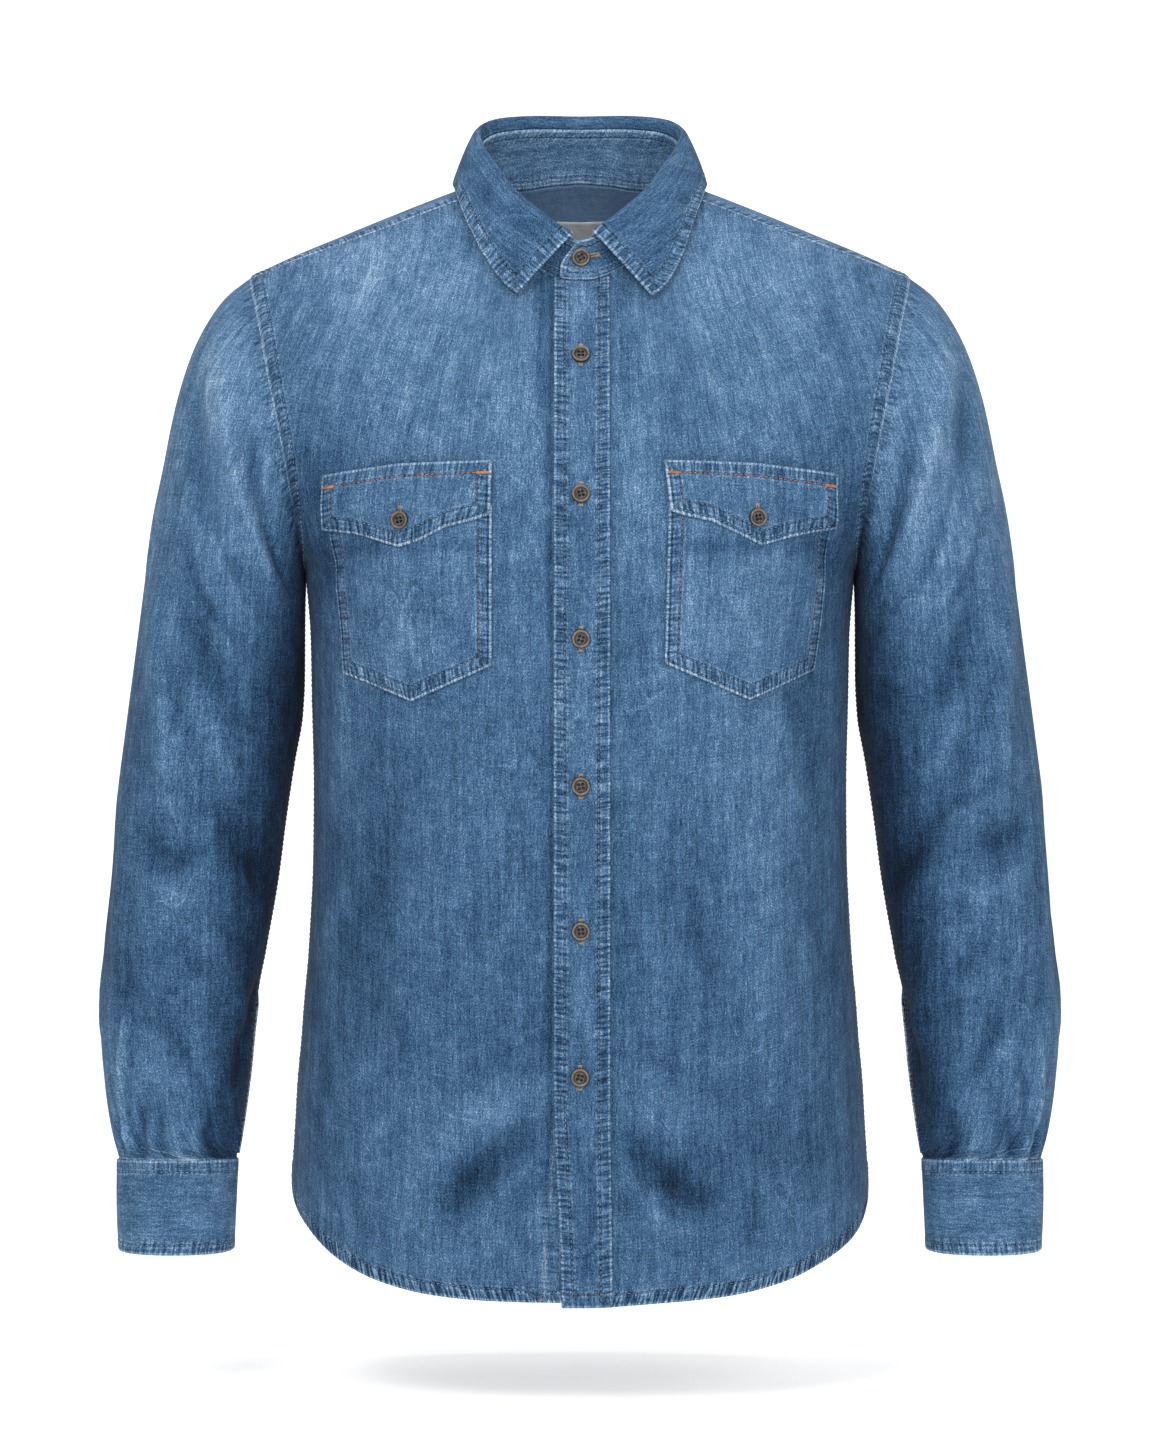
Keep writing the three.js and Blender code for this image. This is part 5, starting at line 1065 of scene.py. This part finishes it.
pocketForm = {
    "right": dict(
        body=([(-165.5, -215), (-57.5, -215)], [(-152.5, -324), (-109.5, -342.5), (-57.5, -319.5)]),
        flap=([(-167, -194.5), (-117, -188.6), (-57.5, -187.2)],
              [(-167, -228.5), (-147, -232), (-131, -237), (-117, -241.5), (-103, -237.5), (-87, -229.5), (-73, -226), (-58.5, -222)])),
    "left": dict(
        body=([(58, -215), (165.5, -215)], [(55, -318), (110, -341.5), (154, -322)]),
        flap=([(55, -187), (114, -188.4), (167, -193.5)],
              [(59, -219.5), (70, -222.5), (85, -225.5), (100, -232.5), (117, -240.5), (134, -235), (150, -231.5), (166, -228)])),
}


def lineAt(points, u):
    q = np.array(points, float)
    k = np.linspace(0, 1, len(q))
    return np.interp(u, k, q[:, 0]), np.interp(u, k, q[:, 1])


for sideName, forms in pocketForm.items():
    for kind, (top, low) in forms.items():
        u = np.linspace(0, 1, 57)[None, :]
        v = np.linspace(0, 1, 57 if kind == "body" else 22)[:, None]
        tx, tz = lineAt(top, u)
        bx, bz = lineAt(low, u)
        x, z = mix(tx, bx, v), mix(tz, bz, v)
        p, n, fold = bodyPoint(x, z, -1)
        run, drop = lengths(p, 1), lengths(p, 0)
        toSide = np.minimum(run, run[:, -1:] - run)
        toLow = (drop[-1:] - drop) * 0.94
        near = np.minimum(toSide, toLow) if kind == "body" else np.minimum(np.minimum(toSide, toLow), 99)
        seed = (101 if kind == "body" else 111) + (3 if sideName == "left" else 0)
        ripple = pucker(toSide, drop, 0.28, 7.5, 0.4, seed, at=4.5, wide=4.5) + pucker(toLow, run, 0.32, 7.5, 0.4, seed + 1, at=4.5, wide=4.5)
        if kind == "body":
            puff = 1.4 * np.sin(np.pi * clamp(u, 0, 1)) * ease(0, 0.35, v) * (1 - ease(0.75, 1, v)) + 0.5 * noise(x / 28, z / 34, seed)
            lift = 1.15 + 1.2 + puff * ease(2, 14, near) + ripple
            thick, edges = 1.2, [(toSide, drop, 1.0, [2.2, 8.6]), (toLow, run, 1.4, [2.2, 8.6])]
        else:
            puff = 0.7 * np.sin(np.pi * clamp(v, 0, 1)) + 0.35 * noise(x / 24, z / 20, seed)
            lift = 1.15 + 1.2 + 1.0 + 1.5 + puff * ease(2, 10, near) + ripple
            thick, edges = 1.5, [(toSide, drop, 1.0, [2.2, 8.4]), (toLow, run, 1.4, [2.2, 8.4]), (drop, run, 1.0, [7.8])]
        face = p + n * lift[..., None]
        # On the pocket body a dark band about 27 mm below its top is painted shadow of the flap; the rest follows the
        # body's fades and painted light and shade, with its puckers and puff.
        wearAndPaintedLight = -0.01 + bodyWearAndPaintedLight(x, z, -1, fold) * 0.7 + 0.10 * ripple + 0.03 * puff - (0.10 * (1 - ease(0, 9, np.abs(drop - 27))) if kind == "body" else 0)
        span = run[len(run) // 2, -1]
        for level in (2.2, 8.5):
            sewLevel("pale", face, n, toLow, level, fromEnd=True, keep=(level / span, 1 - level / span))
        tall = drop[-1, len(u[0]) // 2]
        for flipped in (False, True):
            sewLevel("rust", face, n, (run[:, -1:] - run) if flipped else run, 8.5, axis=1, fromEnd=flipped, keep=((0.0, 1 - 8.5 / tall) if kind == "body" else (0.22, 0.8)))
        if kind == "flap":
            sewLevel("orange", face, n, drop, 7.8, radius=0.3)
            q, m = levelLine(face, n, drop, 7.8)
            for cut in (slice(0, 6), slice(-6, None)):
                for shift in (-0.45, 0.0, 0.45):
                    sew("orange", q[cut] + np.array([0, 0, shift]), m[cut], length=99, gap=0, radius=0.42)
        nodeName = ("pocket_" if kind == "body" else "pocket_flap_") + sideName
        obj = shell(nodeName + "_cloth", face, n, thick, "root", denimFace, denimBack, [nodeName], wearAndPaintedLight=wearAndPaintedLight,
                    edges=edges, uv=panelUv(p))
print("pockets made")

# ---- cuffs ---------------------------------------------------------------------------


def cuffPoint(turn, v, flip, out):
    outX = mix(309, 308, v) + 0.8 * np.sin(np.pi * v)
    inX = mix(228, 230.8, v)
    c, r = np.cos(turn * deg), np.sin(turn * deg)
    x = (outX + inX) / 2 + np.sign(c) * np.abs(c) ** (2 / 2.2) * ((outX - inX) / 2 + out)
    y = -40 - np.sign(r) * np.abs(r) ** (2 / 2.2) * (mix(36, 35, v) + out)
    z = mix(-648.3, -707.4, v) - 0.8 * v * np.maximum(0, r) + 1.8 * (1 - v) * np.maximum(0, r)
    return stack(x * flip, y, z)


cuffStart, cuffLap = -140, 30
for sideName, flip in (("left", 1), ("right", -1)):
    k = np.linspace(0, 32, 150)[None, :]
    v = np.linspace(0, 1, 26)[:, None]
    turn = cuffStart + cuffLap / 2 + 4 - (360 + cuffLap) * k / 32
    p = cuffPoint(turn, v, flip, 2.6 * ease(25, 29, k))
    n = gridNormals(p, False, p - np.array([268 * flip, -40, 0]) * [1, 1, 0] - p * [0, 0, 1])
    run, drop = lengths(p, 1), lengths(p, 0)
    toTop, toLow = drop, drop[-1:] - drop
    toEnd = np.minimum(run, run[:, -1:] - run)
    near = np.minimum(toTop, toLow)
    ripple = pucker(toTop, run, 0.3, 7, 0.3, 121 + flip, at=3.5, wide=4) + pucker(toLow, run, 0.3, 7, 0.3, 125 + flip, at=3, wide=3.6)
    face = p + n * ripple[..., None]
    wearAndPaintedLight = 0.0 + 0.1 * ripple + 0.02 * noise(run / 20, drop / 20, 127)
    obj = shell("cuff_cloth_" + sideName, face, n, 2.0, "root", denimTrim, denimTrim, ["cuff_" + sideName], wearAndPaintedLight=wearAndPaintedLight,
                edges=[(toTop, run, 0.9, [7.2]), (toLow, run, 1.2, [6.0]), (toEnd, drop, 0.9, [4.0])], uv=panelUv(p))
    sewLevel("pale", face, n, toTop, 7.2)
    sewLevel("pale", face, n, toLow, 6.0, fromEnd=True)
    sewLevel("pale", face, n, run, 4.0, axis=1, keep=(0.08, 0.92))
    sewLevel("pale", face, n, run[:, -1:] - run, 4.0, axis=1, fromEnd=True, keep=(0.08, 0.92))

# ---- slit strips ------------------------------------------------------------------

stripForm = dict(turn=-155, half=15, low=13.85, top=10.9, tip=10.6)
for sideName, flip in (("left", 1), ("right", -1)):
    grid = sleeves[sideName]
    u = np.linspace(-1, 1, 22)[None, :]
    end = mix(stripForm["top"], stripForm["tip"], 1 - np.abs(u))
    s = mix(stripForm["low"], end, np.linspace(0, 1, 50)[:, None])
    turn = stripForm["turn"] + stripForm["half"] * u + 0 * s
    i = clamp(np.searchsorted(grid["S"], s, side="right") - 1, 0, len(grid["S"]) - 2)
    fv = (s - grid["S"][i]) / (grid["S"][i + 1] - grid["S"][i])
    cols = grid["p"].shape[1]
    firstTurn = grid["turn"][150, 0]
    k = ((turn - firstTurn) % 360) / 360 * cols
    j = np.floor(k).astype(int) % cols
    fu = k - np.floor(k)
    read = lambda g: mix(mix(g[i, j], g[i, (j + 1) % cols], fu[..., None]), mix(g[i + 1, j], g[i + 1, (j + 1) % cols], fu[..., None]), fv[..., None])
    p, n = read(grid["p"]), unit(read(grid["n"]))
    run, drop = lengths(p, 1), lengths(p, 0)
    near = np.minimum(run, run[:, -1:] - run)
    face = p + n * 1.9
    obj = shell("strip_cloth_" + sideName, face, n, 1.2, "root", denimFace, denimBack, ["sleeve_placket_" + sideName], wearAndPaintedLight=0.05,
                edges=[(near, drop, 0.9, [2.2])], uv=panelUv(p))
    for flipped in (False, True):
        sewLevel("pale", face, n, (run[:, -1:] - run) if flipped else run, 2.2, axis=1, fromEnd=flipped)
print("cuffs made")

# ---- buttons --------------------------------------------------------------------------

# Face height by distance r from the middle: dished middle, rounded rim.
buttonHeight = table(("r", "h"), [(0, 1.85), (2.9, 1.9), (3.3, 1.55), (3.7, 1.5), (4.1, 1.95), (4.8, 2.55), (5.3, 2.62), (5.8, 2.4), (6.15, 1.9), (6.25, 1.4)])["h"]


def buttonMesh(name):
    steps = 56
    rings = np.concatenate([np.linspace(0.001, 4.0, 20), np.linspace(4.2, 6.25, 12)])[:, None]
    a = np.arange(steps)[None, :] * 2 * math.pi / steps
    x, y = rings * np.cos(a), rings * np.sin(a)
    h = buttonHeight(rings) + 0 * a
    for cx, cy in ((1.25, 1.25), (-1.25, 1.25), (1.25, -1.25), (-1.25, -1.25)):
        h = h - 1.3 * (1 - ease(0.75, 1.05, np.hypot(x - cx, y - cy)))
    depth = np.minimum.reduce([np.hypot(x - cx, y - cy) for cx in (-1.25, 1.25) for cy in (-1.25, 1.25)])
    face = stack(x, y, h)
    low = [stack(r * np.cos(a), r * np.sin(a), h0 + 0 * a) for r, h0 in ((6.2, 0.9), (5.4, 0.35), (0.001, 0.3))]
    p = np.concatenate([face] + low)
    rows = len(p)
    idx = np.arange(rows * steps).reshape(rows, steps)
    nxt = np.roll(idx, -1, axis=1)
    faces = np.stack([idx[:-1].ravel(), idx[1:].ravel(), nxt[1:].ravel(), nxt[:-1].ravel()], 1)
    mesh = bpy.data.meshes.new(name)
    mesh.from_pydata((p.reshape(-1, 3) * 0.001).tolist(), [], faces.tolist())
    mesh.shade_smooth()
    # Shade: 1 in the holes, which are only shallow dips, as painted shade; painted shade too in the groove at r 3.8 and
    # on the rounded outer edge; a little darker over the middle disc.
    dark = 0.15 * (1 - ease(3.0, 3.4, rings)) + 0.5 * np.exp(-(((rings - 3.8) / 0.4) ** 2)) + 0.7 * ease(5.6, 6.15, rings)
    shade = np.maximum(1 - ease(0.85, 1.1, depth), dark + 0 * a)
    shade = np.concatenate([shade, np.full((3, steps), 0.8)]).reshape(-1)
    mesh.attributes.new("shade", "FLOAT", "POINT").data.foreach_set("value", shade.astype(np.float32))
    mesh.materials.append(horn)
    return mesh


sharedButton = buttonMesh("button_disc")


def addButton(name, at, normal, turnBy=0.0):
    side = unit(np.array([1.0, 0, 0]) - normal * normal[0])
    up = np.cross(normal, side)
    c, s = math.cos(turnBy), math.sin(turnBy)
    side, up = side * c + up * s, up * c - side * s
    q = np.empty(len(sharedButton.vertices) * 3)
    sharedButton.vertices.foreach_get("co", q)
    q = q.reshape(-1, 3)
    world = (at * 0.001) + q[:, :1] * side + q[:, 1:2] * up + q[:, 2:] * normal
    mesh = sharedButton.copy()
    mesh.vertices.foreach_set("co", world.ravel())
    mesh.update()
    obj = bpy.data.objects.new(name + "_horn", mesh)
    bpy.context.scene.collection.objects.link(obj)
    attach(obj, "root")
    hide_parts(name)


# A worked buttonhole: close short stitches across both lips of a slit, with a bar at each end.
def addHole(at, normal, way, long=15.0, kind="tan"):
    way = unit(way - normal * (way @ normal))
    side = np.cross(normal, way)
    t = np.linspace(0, 1, 3)[:, None]
    for lip in (-1, 1):
        for step in np.arange(-long / 2, long / 2, 0.62):
            root = at + way * step + normal * 0.15
            sew(kind, root + side * lip * mix(0.15, 1.45, t), np.tile(normal, (3, 1)), length=99, gap=0, radius=0.36)
    for end in (-1, 1):
        for step in (-0.4, 0.3):
            root = at + way * (end * long / 2 + step) + normal * 0.3
            sew(kind, root + side * mix(-1.6, 1.6, t), np.tile(normal, (3, 1)), length=99, gap=0, radius=0.42)


upright = np.array([0, 0, 1.0])
frontButtons = [-116.5, -208.5, -302.5, -398, -492, -586.5]
for k, z in enumerate(frontButtons):
    p, n, _ = bodyPoint(0.0 if k == 5 else 0.6, z, -1)
    addHole(p + n * 2.1, n, upright)
    addButton("button_front_%d" % (k + 1), p + n * 2.2, n, 0.3 * math.sin(k * 2.3))
for sideName, x, z in (("right", -115.7, -224.5), ("left", 114, -223)):
    p, n, _ = bodyPoint(x, z, -1)
    addButton("button_pocket_" + sideName, p + n * 5.4, n, 0.2)
    addHole(p + n * 5.0 + np.array([0, 0, 3.0]), n, upright, long=11.0)
p = standPoint(np.array(180.0), np.array(0.5))
p[0], p[2] = 0.7, -50
n = unit(np.array([0, -1, 0.12]))
addButton("button_collar", p + n * 0.6, n, 0.5)
addHole(p + n * 0.75 + np.array([3.2, 0.3, 1.0]), n, np.array([1.0, 0, 0.18]), long=17.0)
for sideName, flip in (("left", 1), ("right", -1)):
    turn = cuffStart - cuffLap / 2 + 18
    p = cuffPoint(np.array(float(turn)), np.array(0.5), flip, 2.6)
    n = unit(np.array([math.cos(turn * deg) / 41 * flip, -math.sin(turn * deg) / 36, 0]))
    addButton("button_cuff_" + sideName, p + n * 0.4, n)
    addHole(p + n * 0.3, n, np.cross(upright, n), long=15.0)
print("buttons made")

# ---- thread ---------------------------------------------------------------------------


def threadMesh(name, lines, material):
    """Each stitch is a short soft-ended bar, five-sided, that dips into the cloth at both ends."""
    allVerts, allFaces, count = [], [], 0
    for points, normals, length, gap, radius in lines:
        run = np.concatenate([[0], np.cumsum(np.linalg.norm(np.diff(points, axis=0), axis=1))])
        total = run[-1]
        if length > total:
            starts, size = np.array([0.0]), total
        else:
            starts, size = np.arange(0.4, total - length, length + gap), length
        t = np.array([0, 0.18, 0.5, 0.82, 1.0])
        thick = np.array([0.35, 0.9, 1.0, 0.9, 0.35])
        sink = np.array([-0.9, 0.25, 0.6, 0.25, -0.9])
        at = starts[:, None] + size * t[None, :]
        pick = lambda arr: np.stack([np.interp(at, run, arr[:, c]) for c in range(3)], -1)
        q, nn = pick(points), unit(pick(normals))
        ahead = unit(np.gradient(q, axis=1))
        side = unit(np.cross(ahead, nn))
        q = q + nn * (sink * radius)[None, :, None]
        a = np.arange(5) * 2 * math.pi / 5
        ringPts = q[:, :, None] + radius * thick[None, :, None, None] * (side[:, :, None] * np.cos(a)[:, None] + nn[:, :, None] * np.sin(a)[:, None])
        block = ringPts.reshape(-1, 3)
        idx = np.arange(len(block)).reshape(len(starts), 5, 5) + count
        nxt = np.roll(idx, -1, axis=2)
        quads = np.stack([idx[:, :-1], nxt[:, :-1], nxt[:, 1:], idx[:, 1:]], -1).reshape(-1, 4)
        allVerts.append(block)
        allFaces.append(quads)
        count += len(block)
    mesh = bpy.data.meshes.new(name)
    mesh.from_pydata((np.concatenate(allVerts) * 0.001).tolist(), [], np.concatenate(allFaces).tolist())
    mesh.shade_smooth()
    mesh.materials.append(material)
    obj = bpy.data.objects.new(name, mesh)
    bpy.context.scene.collection.objects.link(obj)
    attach(obj, "root")
    return obj


threadFinish = {
    "tan": threadCotton("buttonhole_tan_silk", "80705f", "ac9a84"),
    "pale": threadCotton("washed_out_blue_thread", "4b6480", "8aa0b6"),
    "rust": threadCotton("faded_rust_thread", "625f6e", "957d74"),
    "orange": threadCotton("copper_orange_thread", "94583a", "c78553"),
}
for kind, lines in threads.items():
    threadMesh("thread_" + kind, lines, threadFinish[kind])
print("thread made")

# ---- camera, light and ground ------------------------------------------------------------

scene = bpy.context.scene
camera = bpy.data.objects.new("camera", bpy.data.cameras.new("camera"))
scene.collection.objects.link(camera)
camera.location = (0, -3.2, -0.355)
camera.rotation_euler = (math.pi / 2, 0, 0)
camera.data.lens = 118.3
camera.data.sensor_width = 36
scene.camera = camera

scene.view_settings.view_transform = "Standard"
world = bpy.data.worlds.new("studio")
scene.world = world
world.use_nodes = True
world.node_tree.nodes["Background"].inputs["Color"].default_value = (1, 1, 1, 1)
world.node_tree.nodes["Background"].inputs["Strength"].default_value = 0.27


def areaLight(name, at, towards, size, power, tint="ffffff"):
    data = bpy.data.lights.new(name, "AREA")
    data.shape = "RECTANGLE"
    data.size, data.size_y = size
    data.energy = power
    data.color = hexColour(tint)[:3]
    lamp = bpy.data.objects.new(name, data)
    scene.collection.objects.link(lamp)
    lamp.location = at
    from mathutils import Vector
    lamp.rotation_euler = (Vector(towards) - Vector(at)).to_track_quat("-Z", "Y").to_euler()
    return lamp


areaLight("key_light", (-0.9, -2.3, 1.6), (0, 0, -0.35), (1.1, 1.1), 42)
areaLight("fill_light", (1.5, -2.2, 1.0), (0, 0, -0.4), (1.4, 1.4), 24)
areaLight("top_light", (0.05, -0.1, 2.3), (0.05, 0, -0.3), (2.4, 1.1), 34)
areaLight("front_light", (0.2, -3.5, -0.15), (0, 0, -0.2), (1.2, 1.2), 14)


def backdropMaterial(name, glow):
    mat, tree = newMaterial(name)
    diffuse = put(tree, "ShaderNodeBsdfDiffuse", {"Color": (0.8, 0.8, 0.8, 1)})
    light = put(tree, "ShaderNodeEmission", {"Color": (1, 1, 1, 1), "Strength": glow})
    both = put(tree, "ShaderNodeAddShader", {0: diffuse.outputs[0], 1: light.outputs[0]})
    put(tree, "ShaderNodeOutputMaterial", {"Surface": both.outputs[0]})
    return mat


# A white sweep: floor 0.8 m below the collar, curving up far behind.
t = np.linspace(0, 1, 40)
profile = np.concatenate([
    np.stack([np.linspace(-4, 3, 20), np.full(20, -0.8)], 1),
    np.stack([3 + 1.5 * np.sin(t * math.pi / 2), -0.8 + 1.5 * (1 - np.cos(t * math.pi / 2))], 1),
    np.stack([np.full(10, 4.5), np.linspace(0.8, 5, 10)], 1),
])
verts = [(x, y, z) for x in (-6, 6) for y, z in profile]
m = len(profile)
mesh = bpy.data.meshes.new("sweep")
mesh.from_pydata(verts, [], [(k, k + 1, m + k + 1, m + k) for k in range(m - 1)])
mesh.shade_smooth()
mesh.materials.append(backdropMaterial("white_paper_sweep", 0.6))
sweep = bpy.data.objects.new("sweep", mesh)
scene.collection.objects.link(sweep)
print("stage set")
